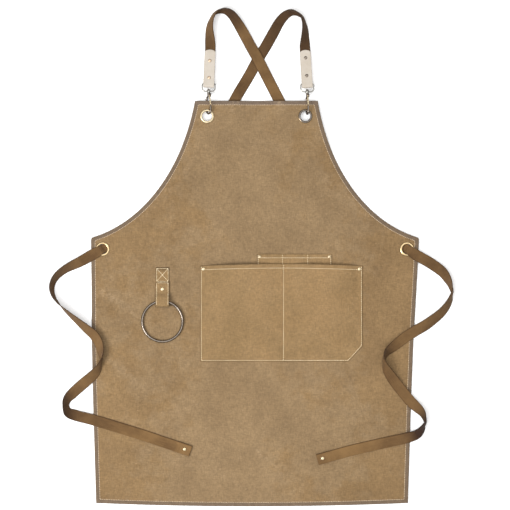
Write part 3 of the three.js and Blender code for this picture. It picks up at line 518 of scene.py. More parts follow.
def leatherMaterial(name):
    look = Look(name)
    place = look.objectPlace()
    patches = look.cloud(place, 45, 5, 0.6, 0.4, 0.72)
    colour = look.cover(leatherLook["pale"], leatherLook["tan"], patches, 0.6)
    border = look.span(look.mark("edge"), 0.0, 1.1, 0.55, 0)
    colour = look.blend(border, colour, leatherLook["edge"])
    grain = look.node("ShaderNodeTexVoronoi", {"Vector": place, "Scale": 900}).outputs[0]
    creased = look.bump(look.noise(place, 120, 5, 0.7), 0.25, 0.001)
    normal = look.bump(grain, 0.12, 0.0003, creased)
    roughness = look.cloud(place, 70, 3, 0.55, 0.3, 0.7, 0.5, 0.66)
    return look.set(Base_Color=colour, Roughness=roughness, Normal=normal,
                    Specular_IOR_Level=0.4)


metalLook = {  # bright, tarnished and roughness
    "wornBrass": (linear(206, 182, 140), linear(128, 98, 58), 0.28),
    "paleBrass": (linear(206, 190, 158), linear(134, 114, 84), 0.4),
    "darkMetal": (linear(126, 116, 106), linear(58, 50, 44), 0.22),
    "agedMetal": (linear(108, 99, 90), linear(46, 40, 35), 0.3),
    "satinNickel": (linear(160, 158, 152), linear(88, 84, 78), 0.24),
    "paleCopper": (linear(196, 174, 150), linear(130, 104, 80), 0.32),
}
metalWear = 0.5


def metalMaterial(name, bright, tarnish, roughness):
    look = Look(name)
    place = look.objectPlace()
    colour = look.cover(bright, tarnish, look.cloud(place, 260, 4, 0.65, 0.42, 0.7), metalWear)
    scratch = look.noise(look.stretched(place, (300, 2200, 900)), 1, 3)
    rough = look.span(scratch, 0.3, 0.7, roughness * 0.75, roughness * 1.35)
    normal = look.bump(look.noise(place, 500, 3), 0.08, 0.0003)
    return look.set(Base_Color=colour, Metallic=1.0, Roughness=rough, Normal=normal)


threadLook = {  # pale and shaded
    "creamThread": (linear(246, 228, 194), linear(222, 198, 158)),
    "rosyThread": (linear(222, 200, 172), linear(192, 168, 140)),
}


def threadMaterial(name, pale, shaded):
    look = Look(name)
    place = look.objectPlace()
    colour = look.blend(look.cloud(place, 120, 3, 0.55, 0.35, 0.65), shaded, pale)
    twist = look.noise(look.stretched(place, (1500, 1500, 600)), 1, 2)
    return look.set(Base_Color=colour, Roughness=0.75, Normal=look.bump(twist, 0.4, 0.0002))


canvas = canvasMaterial("waxedCanvas", *canvasLook["panel"], border=8.8, warmest=1)
pocketCanvas = canvasMaterial("pocketCanvas", *canvasLook["pocket"], border=1.2, warmest=0.3)
webbing = webbingMaterial("brownWebbing")
leather = leatherMaterial("paleLeather")
thread, hemThread = [threadMaterial(name, *row) for name, row in threadLook.items()]
brass, paleBrass, gunmetal, agedMetal, nickel, copper = [
    metalMaterial(name, *row) for name, row in metalLook.items()]
print("materials made")


# Panel: the cloth with its edge rolled under, row by row over the outline

# Distance inside the edge and height of the cloth's middle, from the folded flap outwards
hemSection = [
    (10.8, 0.62), (7.6, 0.52), (4.2, 0.5), (2.2, 0.52), (1.2, 0.72), (0.62, 1.15), (0.58, 1.75),
    (1.05, 2.2), (2.1, 2.42), (4.4, 2.5), (6.8, 2.46), (8.0, 2.28), (8.6, 2.2), (9.2, 2.28),
    (10.6, 2.44), (13.0, 2.5),
]
flapEnd = 4  # rows of the section that are only the flap


def makePanel():
    inner = round(panel["width"] / panel["cell"])
    columns = [("low", d, z) for d, z in hemSection]
    columns += [("mid", k / inner, 2.5) for k in range(1, inner)]
    columns += [("high", d, z) for d, z in reversed(hemSection)]
    last = hemSection[-1][0]
    levels = [last, panel["hip"], panel["height"] - last]
    rows = [("low", d, z) for d, z in hemSection]
    rows += [("mid", y, 2.5) for y in spacing(levels, panel["cell"])[1:-1]]
    rows += [("high", d, z) for d, z in reversed(hemSection)]

    def rowHeight(j):
        kind, value, z = rows[j]
        return {"low": value, "mid": value, "high": panel["height"] - value}[kind]

    insets = {}

    def inset(j, border):
        key = (j, border)
        if key not in insets:
            insets[key] = insetHalf(rowHeight(j), border)
        return insets[key]

    def corner(i, j):
        y = rowHeight(j)
        kind, value, z = columns[i]
        if kind == "mid":
            x = mix(-inset(j, last), inset(j, last), value)
        else:
            x = inset(j, value) * (-1 if kind == "low" else 1)
        x += middle(y)
        height = min(z, rows[j][2])
        return Vector((x, bowed(x, y), height + clothLift(x, y) + wave(x, y) * edgeCalm(i, j)))

    def edgeCalm(i, j):
        return min(1.0, max(0.0, (edge(i, j) - 1) / 12))

    def edge(i, j):
        inside = [d for kind, d, z in (columns[i], rows[j]) if kind != "mid"]
        return min(inside + [30.0])

    def edgeMark(i, j):
        if columns[i][0] == "mid" and rows[j][0] == "mid":
            return 30.0
        return edge(i, j)

    def creaseMark(i, j):
        at = corner(i, j)
        return creaseHeight(at.x, at.y)

    marks = {"edge": edgeMark, "crease": creaseMark}
    bm, _, index = gridPiece(len(columns), len(rows), corner, marks)
    beyond = lambda k, count: k < flapEnd or k > count - 1 - flapEnd
    spare = [
        f for f in bm.faces
        if all(beyond(index[v][0], len(columns)) and beyond(index[v][1], len(rows))
               for v in f.verts)
    ]
    bmesh.ops.delete(bm, geom=spare, context="FACES")
    radius = panel["hole"]
    for gx, gy in grommetPlaces.values():
        centre = Vector((gx, bowed(gx, gy)))
        inside = [f for f in bm.faces
                  if f.calc_center_median().z > 1.6
                  and (f.calc_center_median().xy - centre).length < radius]
        rim = {v for f in inside for v in f.verts}
        bmesh.ops.delete(bm, geom=inside, context="FACES")
        for vert in rim:
            if vert.is_valid and vert.is_boundary:
                out = (vert.co.xy - centre).normalized() * radius
                vert.co.x, vert.co.y = centre + out
    obj = makePiece(bm, "canvasPanel", "apron", canvas, ["apron_panel"])
    thicken(obj, panel["cloth"])
    return obj


panelPiece = makePanel()
print("panel made")


# Stitches: short rounded threads along a line that lies on the cloth

stitch = {
    "pitch": 3.7, "length": 3.3, "width": 1.4, "height": 0.9, "sink": 0.12,
    "lie": 0.25,  # how far a seam lies in the cloth
}


def stitchRun(bm, corners, height, pitch=None):
    pitch = pitch or stitch["pitch"]
    for a, b in zip(corners, corners[1:]):
        start, end = Vector(a), Vector(b)
        length = (end - start).length
        count = max(1, round(length / pitch))
        for k in range(count):
            place = [start.lerp(end, (k + s) / count) for s in (0.42, 0.5, 0.58)]
            points = [Vector((p.x, p.y, height(p.x, p.y))) for p in place]
            along = (points[2] - points[0]).normalized()
            across = Vector((-along.y, along.x, 0)).normalized()
            up = along.cross(across) * -1
            turn = Matrix((along, across, up)).transposed().to_4x4()
            size = Matrix.Diagonal((stitch["length"] * pitch / stitch["pitch"] / 2,
                                    stitch["width"] / 2, stitch["height"] / 2, 1))
            centre = points[1] + Vector((0, 0, stitch["height"] / 2 - stitch["sink"]))
            bmesh.ops.create_icosphere(
                bm, subdivisions=1, radius=1, matrix=Matrix.Translation(centre) @ turn @ size)


def stitchPiece(name, runs, finish=thread):
    mesh = bmesh.new()
    for corners, height, *pitch in runs:
        stitchRun(mesh, corners, height, *pitch)
    return makePiece(mesh, name, "apron", finish)


def resampled(corners, step):  # the same line in even steps
    path = [Vector(c) for c in corners]
    steps = [path[0]]
    for a, b in zip(path, path[1:]):
        count = max(1, round((b - a).length / step))
        steps += [a.lerp(b, (k + 1) / count) for k in range(count)]
    return steps


def panelStitchLines():
    border = panel["stitchIn"]
    levels = spacing([border, panel["hip"] - 6, panel["hip"] + 2, panel["height"] - border], 11)
    lines = []
    for sign in (-1, 1):
        side = []
        for y in levels:
            x = middle(y) + sign * insetHalf(y, border)
            side.append((x, bowed(x, y)))
        lines.append(side)
    for y in (border, panel["height"] - border):
        reach = insetHalf(y, border)
        xs = spacing([middle(y) - reach, middle(y) + reach], 11)
        lines.append([(x, bowed(x, y)) for x in xs])
    return lines


def onPanel(x, y):
    return clothTop(x, y) - stitch["lie"]


hemRuns = [(line, onPanel) for line in panelStitchLines()]
panelStitching = stitchPiece("panelStitching", hemRuns, hemThread)
print("panel stitched")


# Grommets

grommet = {"hole": 10.2, "flange": 15.2, "height": 1.5, "washer": 0.8}


def makeGrommet(name, materials):
    x, y = grommetPlaces[name]
    low = clothLift(x, y) + 2 - gap
    high = clothLift(x, y) + panel["top"] + gap
    hole, flange, rise = grommet["hole"], grommet["flange"], grommet["height"]
    profile = [
        (hole, low - grommet["washer"]), (hole, high - 0.4), (hole + 0.12, high + 0.35 * rise),
        (hole + 0.5, high + 0.72 * rise), (hole + 1.2, high + 0.95 * rise),
        (hole + 2.2, high + rise), (flange - 2.0, high + 0.86 * rise),
        (flange - 1.0, high + 0.6 * rise), (flange - 0.3, high + 0.25 * rise),
        (flange, high - 0.1), (flange - 0.2, high - 0.35), (flange - 0.8, high - 0.2),
        (hole + 1.0, high - 0.1), (hole + 0.9, low), (flange - 0.5, low),
        (flange - 0.2, low - 0.3), (flange - 0.4, low - grommet["washer"]),
        (hole, low - grommet["washer"]),
    ]
    bm = bmesh.new()
    turned(bm, profile, steps=64)
    for face in bm.faces:
        far = face.calc_center_median().xy.length
        face.material_index = 1 if far > flange - 1.2 and len(materials) > 1 else 0
    place = toFrame @ Matrix.Translation((x, y, 0))
    return makePiece(bm, "grommet" + name.title().replace("_", ""), "apron", materials,
                     ["grommet_" + name], place=place)


for name, materials in {
    "top_left": (paleBrass, brass), "top_right": (agedMetal, brass),
    "side_left": (brass,), "side_right": (brass,),
}.items():
    makeGrommet(name, materials)
print("grommets made")


# Rivets

rivet = {"shank": 1.2, "cap": 0.7, "rise": 1.3, "pocket": 3.5, "pen": 3.0, "loop": 3.7, "tie": 3.5}


def addRivet(bm, low, high, head, matrix):
    cap, rise = rivet["cap"], rivet["rise"]
    turned(bm, [
        (0, low - cap), (head * 0.8, low - cap), (head * 0.88, low - 0.6 * cap),
        (head * 0.88, low), (rivet["shank"], low), (rivet["shank"], high - 0.1), (head, high - 0.1),
        (head * 1.02, high + 0.2 * rise), (head * 0.98, high + 0.5 * rise),
        (head * 0.82, high + 0.82 * rise), (head * 0.45, high + 0.97 * rise), (0, high + rise),
    ], matrix, 32)


# Main pocket

pocket = {
    "width": 341, "height": 201, "right": 55.5, "up": 302.3, "bow": 4, "depth": 10,
    "seam": 0.513, "chamferAcross": 29.5, "chamferUp": 32, "border": 11, "cloth": 1.1,
    "hem": 10, "hemStitch": 8.2, "edgeStitch": 2.2, "rivetIn": 6.6, "cell": 4.4,
}
pen = {
    "width": 157, "height": 120, "right": 83, "top": 24.6, "depth": 1.2,
    "seams": [0.338, 0.676], "flat": 9, "rivetIn": 5.4, "hemStitch": 7.8, "cell": 4.2,
}
pocketLeft = pocket["right"] - pocket["width"] / 2
pocketTop = pocket["up"] + pocket["height"]
penLeft = pen["right"] - pen["width"] / 2
penTop = pocketTop + pen["top"]
penBottom = penTop - pen["height"]


def penRise(x, y):
    across = x - penLeft
    seams = [0] + [s * pen["width"] for s in pen["seams"]] + [pen["width"]]
    for low, high in zip(seams, seams[1:]):
        if low <= across <= high:
            share = (across - low - pen["flat"]) / (high - low - 2 * pen["flat"])
            up = min(max((y - penBottom) / pen["height"], 0), 1)
            return pen["depth"] * math.sin(math.pi * min(max(share, 0), 1)) * up
    return 0


def penCover(x, y):  # room that the main pocket leaves for the pen pocket behind it
    outX = max(penLeft - x, x - penLeft - pen["width"], 0)
    outY = max(penBottom - y, 0)
    weight = fade((math.hypot(outX, outY) - 6) / 24)
    return weight * (panel["cloth"] + 3 * gap + pen["depth"])


def pocketRise(across, up, right):
    seam = pocket["seam"] * pocket["width"]
    border = pocket["border"]
    if across < seam:
        share = (across - border) / (seam - border * 1.5)
    else:
        share = (across - seam - border / 2) / (right - seam - border * 1.5)
    inside = math.sin(math.pi * min(max(share, 0), 1))
    climb = max(0, (up - border) / (pocket["height"] - border))
    bulge = pocket["depth"] * inside ** 0.75 * climb ** 0.8
    return max(bulge, penCover(pocketLeft + across, pocket["up"] + up))


def pocketPoint(across, up):  # place on the pocket, with the chamfered corner drawn in
    cut = pocket["chamferAcross"] * max(0, 1 - up / pocket["chamferUp"])
    right = pocket["width"] - cut
    seam = pocket["seam"] * pocket["width"]
    slant = math.hypot(1, pocket["chamferAcross"] / pocket["chamferUp"]) if cut else 1
    fromRight = pocket["width"] - across
    if fromRight < pocket["border"]:
        across = right - fromRight * slant
    elif across > seam:
        edge = right - pocket["border"] * slant
        share = (across - seam) / (pocket["width"] - pocket["border"] - seam)
        across = mix(seam, edge, share)
    bowUp = pocket["bow"] * math.sin(math.pi * across / pocket["width"])
    y = pocket["up"] + up + bowUp * (up / pocket["height"]) ** 3
    return pocketLeft + across, y, pocketRise(across, up, right)


def pocketHeight(across, up):  # outer side of the pocket's cloth
    x, y, rise = pocketPoint(across, up)
    doubled = fade((pocket["height"] - up - pocket["hem"]) / 3)
    return clothTop(x, y) + 0.2 + rise + pocket["cloth"] * (1 + 0.9 * doubled)


edgeSteps = [0, 0.7, 1.6, 2.2, 2.8, 3.8, 6]
edgeEnd = 9
fineSteps = (-2.6, -1.2, 0, 1.2, 2.6)  # either side of a seam


def framed(inner, width):  # the inner steps with close ones at both edges
    return edgeSteps + inner + [width - d for d in reversed(edgeSteps)]


def dip(distance, depth=0.3, breadth=1.1):  # how far a seam pulls the cloth down beside it
    return depth * math.exp(-(distance / breadth) ** 2)


def makeMainPocket():
    width, height, seam = pocket["width"], pocket["height"], pocket["seam"] * pocket["width"]
    columns = spacing([edgeEnd, seam - 8], pocket["cell"])
    columns += [seam + d for d in (-5, -3, -1.6, -0.7, 0, 0.7, 1.6, 3, 5)]
    columns += spacing([seam + 8, width - pocket["border"], width - edgeEnd], pocket["cell"])
    columns = framed(columns, width)
    stitchUp = height - pocket["hemStitch"]
    rows = edgeSteps + spacing([edgeEnd, pocket["chamferUp"], height - 14], pocket["cell"])
    rows += [stitchUp + d for d in (-3.6, -2, -0.8, 0, 0.8, 2)]
    rows += [height - 3.5, height - 1.2, height - 0.5]
    outer = len(rows)
    folded = [(0.35, 0.55), (1.2, 1.0), (4, 1.05), (pocket["hem"], 1.05)]  # inside, below

    def corner(i, j):
        across = columns[i]
        if j < outer:
            up, below = rows[j], 0
        else:
            inside, below = folded[j - outer]
            up = height - inside
        x, y = pocketPoint(across, up)[:2]
        z = pocketHeight(across, up) - pocket["cloth"] / 2 - below
        if below == 0:
            z -= dip(min(across, up, width - across) - pocket["edgeStitch"])
            z -= dip(up - stitchUp) + dip(across - seam, 0.5, 1.6)
            z -= 0.25 * max(0, 1 - min(across, up, width - across) / 0.7)
            z -= 0.3 if up > height - 0.8 else 0
        return Vector((x, y, z))

    def edge(i, j):
        up = rows[min(j, outer - 1)]
        return min(columns[i], width - columns[i], up)

    bm = gridPiece(len(columns), outer + len(folded), corner, {"edge": edge})[0]
    obj = makePiece(bm, "mainPocket", "apron", pocketCanvas, ["main_pocket"])
    thicken(obj, pocket["cloth"], 0.3)
    return obj


def pocketLine(corners):
    line = []
    for across, up in resampled(corners, 8):
        x, y = pocketPoint(across, up)[:2]
        line.append((x, y, pocketHeight(across, up) - stitch["lie"]))
    return line


def stitchAlong(bm, line):  # stitches on a line whose heights are known
    for a, b in zip(line, line[1:]):
        def height(x, y, a=a, b=b):
            span = math.hypot(b[0] - a[0], b[1] - a[1]) or 1
            return mix(a[2], b[2], math.hypot(x - a[0], y - a[1]) / span)
        stitchRun(bm, [a[:2], b[:2]], height)


mainPocket = makeMainPocket()


def makePocketStitching():
    width, height = pocket["width"], pocket["height"]
    inset, hemUp = pocket["edgeStitch"], pocket["height"] - pocket["hemStitch"]
    seam = pocket["seam"] * width
    lines = [
        [(inset, height - 1.5), (inset, inset), (width - inset, inset)],
        [(width - inset, inset), (width - inset, height - 1.5)],
        [(inset, hemUp), (width - inset, hemUp)],
        [(seam, inset), (seam, height - 1.5)],
    ]
    bm = bmesh.new()
    for corners in lines:
        stitchAlong(bm, pocketLine(corners))
    return makePiece(bm, "pocketStitching", "apron", thread)


pocketStitching = makePocketStitching()
print("main pocket made")


# Pen pocket

def penHeight(x, y):
    doubled = fade((penTop - y - 10) / 3)
    return clothTop(x, y) + 0.2 + penRise(x, y) + panel["cloth"] * (1 + 0.35 * doubled)


def makePenPocket():
    width, height = pen["width"], pen["height"]
    seams = [s * width for s in pen["seams"]]
    columns = spacing([edgeEnd, seams[0] - 5], pen["cell"])
    for seam, after in zip(seams, (seams[1] - 5, width - edgeEnd)):
        columns += [seam + d for d in fineSteps] + spacing([seam + 5, after], pen["cell"])
    columns = framed(columns, width)
    hemUp = height - pen["hemStitch"]
    rows = spacing([0, edgeEnd, hemUp - 5], pen["cell"])
    rows += [hemUp + d for d in fineSteps] + [height - 2.4, height - 0.8, height]

    def corner(i, j):
        x, y = penLeft + columns[i], penBottom + rows[j]
        z = penHeight(x, y) - panel["cloth"] / 2
        z -= dip(min(columns[i], width - columns[i]) - pocket["edgeStitch"])
        z -= dip(rows[j] - hemUp) + sum(dip(columns[i] - s, 0.4, 1.4) for s in seams)
        z -= 0.35 if rows[j] > height - 0.5 else 0
        return Vector((x, y, z))

    def edge(i, j):
        return min(columns[i], width - columns[i])

    bm = gridPiece(len(columns), len(rows), corner, {"edge": edge})[0]
    obj = makePiece(bm, "penPocket", "apron", pocketCanvas, ["pen_pocket"])
    thicken(obj, panel["cloth"], 0.25)
    inset = pocket["edgeStitch"]
    seen = penBottom + 40
    lines = [[(penLeft + inset, penTop - 1.5), (penLeft + inset, seen)],
             [(penLeft + width - inset, penTop - 1.5), (penLeft + width - inset, seen)],
             [(penLeft + inset, penTop - pen["hemStitch"]),
              (penLeft + width - inset, penTop - pen["hemStitch"])]]
    lines += [[(penLeft + s, penTop - 1), (penLeft + s, seen)] for s in seams]
    threads = bmesh.new()
    for line in lines:
        stitchRun(threads, resampled(line, 8), lambda x, y: penHeight(x, y) - stitch["lie"])
    return obj, makePiece(threads, "penPocketStitching", "apron", thread)


penPocket, penStitching = makePenPocket()
print("pen pocket made")


# Hanging loop and its ring

loop = {
    "width": 28, "length": 83, "back": 52.8, "cloth": 1.6, "inside": 4.15, "left": 194.6,
    "top": 499.7, "rivetDown": 15, "boxDown": 29,
}
ring = {"across": 90, "wire": 5.2, "slack": 8}
loopFoldUp = loop["top"] - loop["length"]
loopBack = panel["top"] + gap + loop["cloth"] / 2
loopBend = loop["inside"] + loop["cloth"] / 2
loopFront = loopBack + loop["cloth"] + gap
ringUp = loopFoldUp + loop["cloth"] + ring["slack"] + ring["wire"] / 2


def loopPath():
    centre = loopFoldUp + loop["inside"] + loop["cloth"]
    path = [(y, loopBack) for y in spacing([loop["top"], centre], 4)]
    for k in range(1, 13):
        angle = -math.pi / 2 - math.pi * k / 12
        path.append((centre + loopBend * math.cos(angle),
                     loopBack + loopBend + loopBend * math.sin(angle)))
    high = loopBack + 2 * loopBend
    knots = [Vector((path[-1][0], high, 0)), Vector((ringUp + ring["wire"], high, 0)),
             Vector((ringUp + 2 * ring["wire"], mix(loopFront, high, 0.72), 0)),
             Vector((ringUp + 3 * ring["wire"], mix(loopFront, high, 0.2), 0)),
             Vector((ringUp + 3.9 * ring["wire"], loopFront, 0))]
    path += [(p.x, p.y) for p in smoothPath(knots, 2)[1:]]
    end = loopFoldUp + loop["back"]
    path += [(y, loopFront) for y in spacing([path[-1][0], end - 1], 4)[1:]]
    return path + [(end, loopFront)]


def makeLoop():
    path = loopPath()
    half = loop["width"] / 2
    columns = [-half, -half + 0.8, -half + 2, -half + 3.2, -half + 6, -4, 0, 4,
               half - 6, half - 3.2, half - 2, half - 0.8, half]

    def corner(i, j):
        x = columns[i]
        y, z = path[j]
        near = half - abs(x)
        return Vector((x - loop["left"], y, z - dip(near - 2, 0.2) * (1 if j > 30 else 0.3)))

    def edge(i, j):
        return min(half - abs(columns[i]), j / 2, (len(path) - 1 - j) / 2)

    bm = gridPiece(len(columns), len(path), corner, {"edge": edge})[0]
    obj = makePiece(bm, "towelLoop", "apron", pocketCanvas, ["towel_loop"])
    thicken(obj, loop["cloth"] * 0.94, 0.35)
    centre = -loop["left"]
    inset, top = half - 2, loop["top"] - 2
    low = loop["top"] - loop["boxDown"]
    onBack = lambda x, y: loopBack + loop["cloth"] / 2 - 0.1
    onFront = lambda x, y: table(sorted(path[len(path) // 2:]), y) + loop["cloth"] / 2 - 0.1
    box = [(centre - inset, top), (centre + inset, top), (centre + inset, low),
           (centre - inset, low), (centre - inset, top)]
    frontTop, frontLow = loopFoldUp + loop["back"] - 2, loopFoldUp + 5
    runs = [(box, onBack, 3.0), ([box[0], box[2]], onBack, 3.0), ([box[1], box[3]], onBack, 3.0)]
    runs += [(resampled([(centre + s, frontTop), (centre + s, frontLow)], 6), onFront, 3.2)
             for s in (-inset, inset)]
    runs += [([(centre - inset, frontTop), (centre + inset, frontTop)], onFront, 3.2)]
    stitches = stitchPiece("loopStitching", runs)
    return obj, stitches


towelLoop, loopStitching = makeLoop()


def makeRing():
    middleRadius = (ring["across"] - ring["wire"]) / 2
    height = loopBack + loop["cloth"] / 2 + gap + ring["wire"] / 2
    tilt = math.asin((height - (panel["top"] + gap + ring["wire"] / 2)) / (2 * middleRadius))
    bm = bmesh.new()
    circle = [Vector((middleRadius * math.cos(a), middleRadius * math.sin(a), 0))
              for a in (2 * math.pi * k / 120 for k in range(120))]
    sweep(bm, circle, ring["wire"] / 2, Vector((0, 0, 1)), 20, closed=True)
    place = Matrix.Translation((-loop["left"], ringUp, height)) @ Matrix.Rotation(tilt, 4, "X")
    place = toFrame @ place @ Matrix.Translation((0, -middleRadius, 0))
    return makePiece(bm, "towelRing", "ring", gunmetal, ["towel_ring"], place=place)


makeRing()


def makePanelRivets():
    inset, penIn, rivetUp = pocket["rivetIn"], pen["rivetIn"], pocket["height"] - pocket["rivetIn"]
    places = []  # name, node, place, height of the cloth and radius of the head
    for side, across in (("left", inset), ("right", pocket["width"] - inset)):
        places.append(("pocketRivet" + side.title(), "pocket_rivet_" + side, pocketLeft + across,
                       pocketTop - inset, pocketHeight(across, rivetUp), rivet["pocket"]))
    for side, x in (("left", penLeft + penIn), ("right", penLeft + pen["width"] - penIn)):
        places.append(("penRivet" + side.title(), "pen_pocket_rivet_" + side, x, penTop - penIn,
                       penHeight(x, penTop - penIn), rivet["pen"]))
    places.append(("loopRivet", "loop_rivet", -loop["left"],
                   loopFoldUp + loop["back"] - loop["rivetDown"], loopFront + loop["cloth"] / 2,
                   rivet["loop"]))
    for name, node, x, y, high, head in places:
        bm = bmesh.new()
        addRivet(bm, 2 - gap, high, head, Matrix.Translation((x, y, 0)))
        makePiece(bm, name, "apron", paleBrass, [node])


makePanelRivets()
print("loop, ring and rivets made")


# Swivel snap hooks and leather tabs

eye = {"wire": 2.8, "width": 24.6, "length": 16, "low": 7, "boss": 4, "bossLength": 5}
tab = {
    "width": 22.8, "length": 76.5, "arch": 6, "leather": 1.6, "slope": 4.9,
    "yaw": {"left": 2.4, "right": -3.4}, "barClear": 1.1, "droop": 4,
    "rivets": {"left": [16.4, 52.5], "right": [21.5, 59.5]}, "head": 3.4,
}
web = {
    "width": 23, "thickness": 1.5, "bunched": 18.6, "fold": 24, "tie": 240,
    "camber": 5.0, "bendReach": 28,  # how far it bows across where it turns on edge
    "step": 3.0, "smooth": 2,  # length between stations, and how many are smoothed together
}


def swivelPlace(side):
    x, y = grommetPlaces["top_" + side]
    offset = hook["offset"][side]
    clear = grommet["hole"] - hook["wire"] / 2 - 2 * gap
    inset = math.sqrt(clear ** 2 - (offset + hook["wire"] * 0.6) ** 2)
    return Vector((x + offset, y + inset + hook["reach"], swivelHeight))


def tabFrame(side):
    up = eye["length"] - tab["droop"]
    place = Matrix.Translation(swivelPlace(side) + Vector((0, up, 0)))
    yaw = Matrix.Rotation(-math.radians(tab["yaw"][side]), 4, "Z")
    return place @ yaw @ Matrix.Rotation(-math.radians(tab["slope"]), 4, "X")


def hookFrame(side):  # the hook leans over on its swivel
    lean = Matrix.Rotation(math.radians(hook["lean"][side]), 4, "Y")
    return toFrame @ Matrix.Translation(swivelPlace(side)) @ lean


# These turn a body about Z so that it is about Y or X
alongY = Matrix.Rotation(-math.pi / 2, 4, "X")
alongX = Matrix.Rotation(math.pi / 2, 4, "Y")


def arc(cx, cy, radius, start, end, steps=6):
    angles = [math.radians(mix(start, end, k / steps)) for k in range(steps + 1)]
    return [Vector((cx + radius * math.cos(a), cy + radius * math.sin(a), 0)) for a in angles]


def makeEye(side):
    out, low, high = (eye["width"] + eye["wire"]) / 2, eye["low"], 2.6
    top = eye["length"]
    path = [Vector((x, 0, 0)) for x in spacing([-(out - low), out - low], 3)][:-1]
    path += arc(out - low, low, low, -90, 0)[:-1] + arc(out - high, top - high, high, 0, 90)
    path += [Vector((x, top, 0)) for x in spacing([out - high, -(out - high)], 3)][1:-1]
    path += arc(-out + high, top - high, high, 90, 180) + arc(-out + low, low, low, 180, 270)[:-1]
    bm = bmesh.new()
    sweep(bm, path, eye["wire"] / 2, Vector((0, 0, 1)), 16, closed=True)
    end, boss = eye["bossLength"] / 2, eye["boss"]
    turned(bm, [(1.8, -end), (boss - 0.5, -end), (boss, -end + 0.5), (boss, end - 0.5),
                (boss - 0.5, end), (1.8, end), (1.8, -end)], alongY, 32)
    return makePiece(bm, "hookEye" + side.title(), "apron", nickel, ["hook_eye_" + side],
                     place=toFrame @ Matrix.Translation(swivelPlace(side)))


def hookPath():
    bendY, leg, end = -(hook["reach"] - hook["leg"]), hook["leg"], eye["bossLength"] / 2 + gap
    knots = [(-end - 1.5, 0), (-8, -1.4), (-11.5, -5), (-15.5, -0.93 * leg), (-20, -leg),
             (-28, -leg)]
    path = smoothPath([Vector((0, y, z)) for y, z in knots], 1.5)
    for k in range(1, 17):
        angle = -math.pi / 2 - math.pi * k / 16
        path.append(Vector((0, bendY + leg * math.cos(angle), leg * math.sin(angle))))
    return path + [Vector((0, mix(bendY, hook["noseTip"], s), leg)) for s in (0.5, 0.85)]


def makeHook(side):
    end = eye["bossLength"] / 2 + gap
    bm = bmesh.new()
    turned(bm, [(0, -end - 4), (2.6, -end - 4), (3.3, -end - 3.2), (3.6, -end - 2.2),
                (3.6, -end - 0.4), (3.3, -end), (1.5, -end), (1.5, end), (2.7, end),
                (3.0, end + 0.5), (2.7, end + 1.5), (1.6, end + 2.4), (0, end + 2.6)], alongY, 32)
    lugs = []
    for sign in (-1, 1):
        place = Matrix.Translation((sign * 2.45, -7.4, 2.4)) @ Matrix.Diagonal((1.5, 7.4, 5.4, 1))
        lugs += bmesh.ops.create_cube(bm, size=1, matrix=place)["verts"]
    edges = list({e for v in lugs for e in v.link_edges})
    bmesh.ops.bevel(bm, geom=edges, offset=0.6, offset_type="OFFSET", segments=3, profile=0.5,
                    affect="EDGES", material=-1)
    points, radii = roundEnds(hookPath(), hook["wire"] / 2)
    points, radii = points[3:], radii[3:]
    sweep(bm, points, radii, Vector((1, 0, 0)), 16)
    pivotY, pivotZ = hook["pivot"]
    pinPlace = Matrix.Translation((0, pivotY, pivotZ)) @ alongX
    turned(bm, [(0, -3.5), (0.9, -3.5), (1.2, -3.2), (0.8, -3.1), (0.8, 3.1), (1.2, 3.2),
                (0.9, 3.5), (0, 3.5)], pinPlace, 20)
    return makePiece(bm, "snapHook" + side.title(), side + "_hook", gunmetal,
                     ["snap_hook_" + side], place=hookFrame(side))


def makeGate(side):
    pivotY, pivotZ = hook["pivot"]
    tip = Vector((0, hook["gateTip"] - pivotY, hook["leg"] - pivotZ))
    radius = hook["gateWire"] / 2 + hook["gateFinish"]
    bm = bmesh.new()
    turned(bm, [(1.1, -1.5), (1.8, -1.5), (2.1, -1.2), (2.1, 1.2), (1.8, 1.5), (1.1, 1.5),
                (1.1, -1.5)], alongX, 28)
    path = [tip * s for s in (0.1, 0.3, 0.5, 0.7, 0.9)]
    points, radii = roundEnds(path, radius)
    sweep(bm, points, radii, Vector((1, 0, 0)), 16)
    knob = Matrix.Translation(tip * 0.62 + Vector((0, 0, 1.1))) @ Matrix.Diagonal((1.5, 2, 1, 1))
    bmesh.ops.create_uvsphere(bm, u_segments=16, v_segments=10, radius=1, matrix=knob)
    place = hookFrame(side) @ Matrix.Translation((0, pivotY, pivotZ))
    return makePiece(bm, "hookGate" + side.title(), side + "_gate", paleBrass,
                     ["hook_gate_" + side], place=place)


def tabPath():
    layer = web["thickness"] / 2 + gap + tab["leather"] / 2
    fold = eye["wire"] / 2 + tab["barClear"] + tab["leather"] / 2
    knots = [Vector((14, layer, 0)), Vector((6, mix(layer, fold, 0.62), 0)), Vector((0, fold, 0))]
    leg = [(y, layer) for y in spacing([tab["length"], 14], 3)]
    leg += [(p.x, p.y) for p in smoothPath(knots, 2)[1:]]
    half = [(fold * math.cos(a), fold * math.sin(a))
            for a in (math.pi / 2 + math.pi * k / 12 for k in range(1, 12))]
    return leg + half + [(y, -z) for y, z in reversed(leg)]


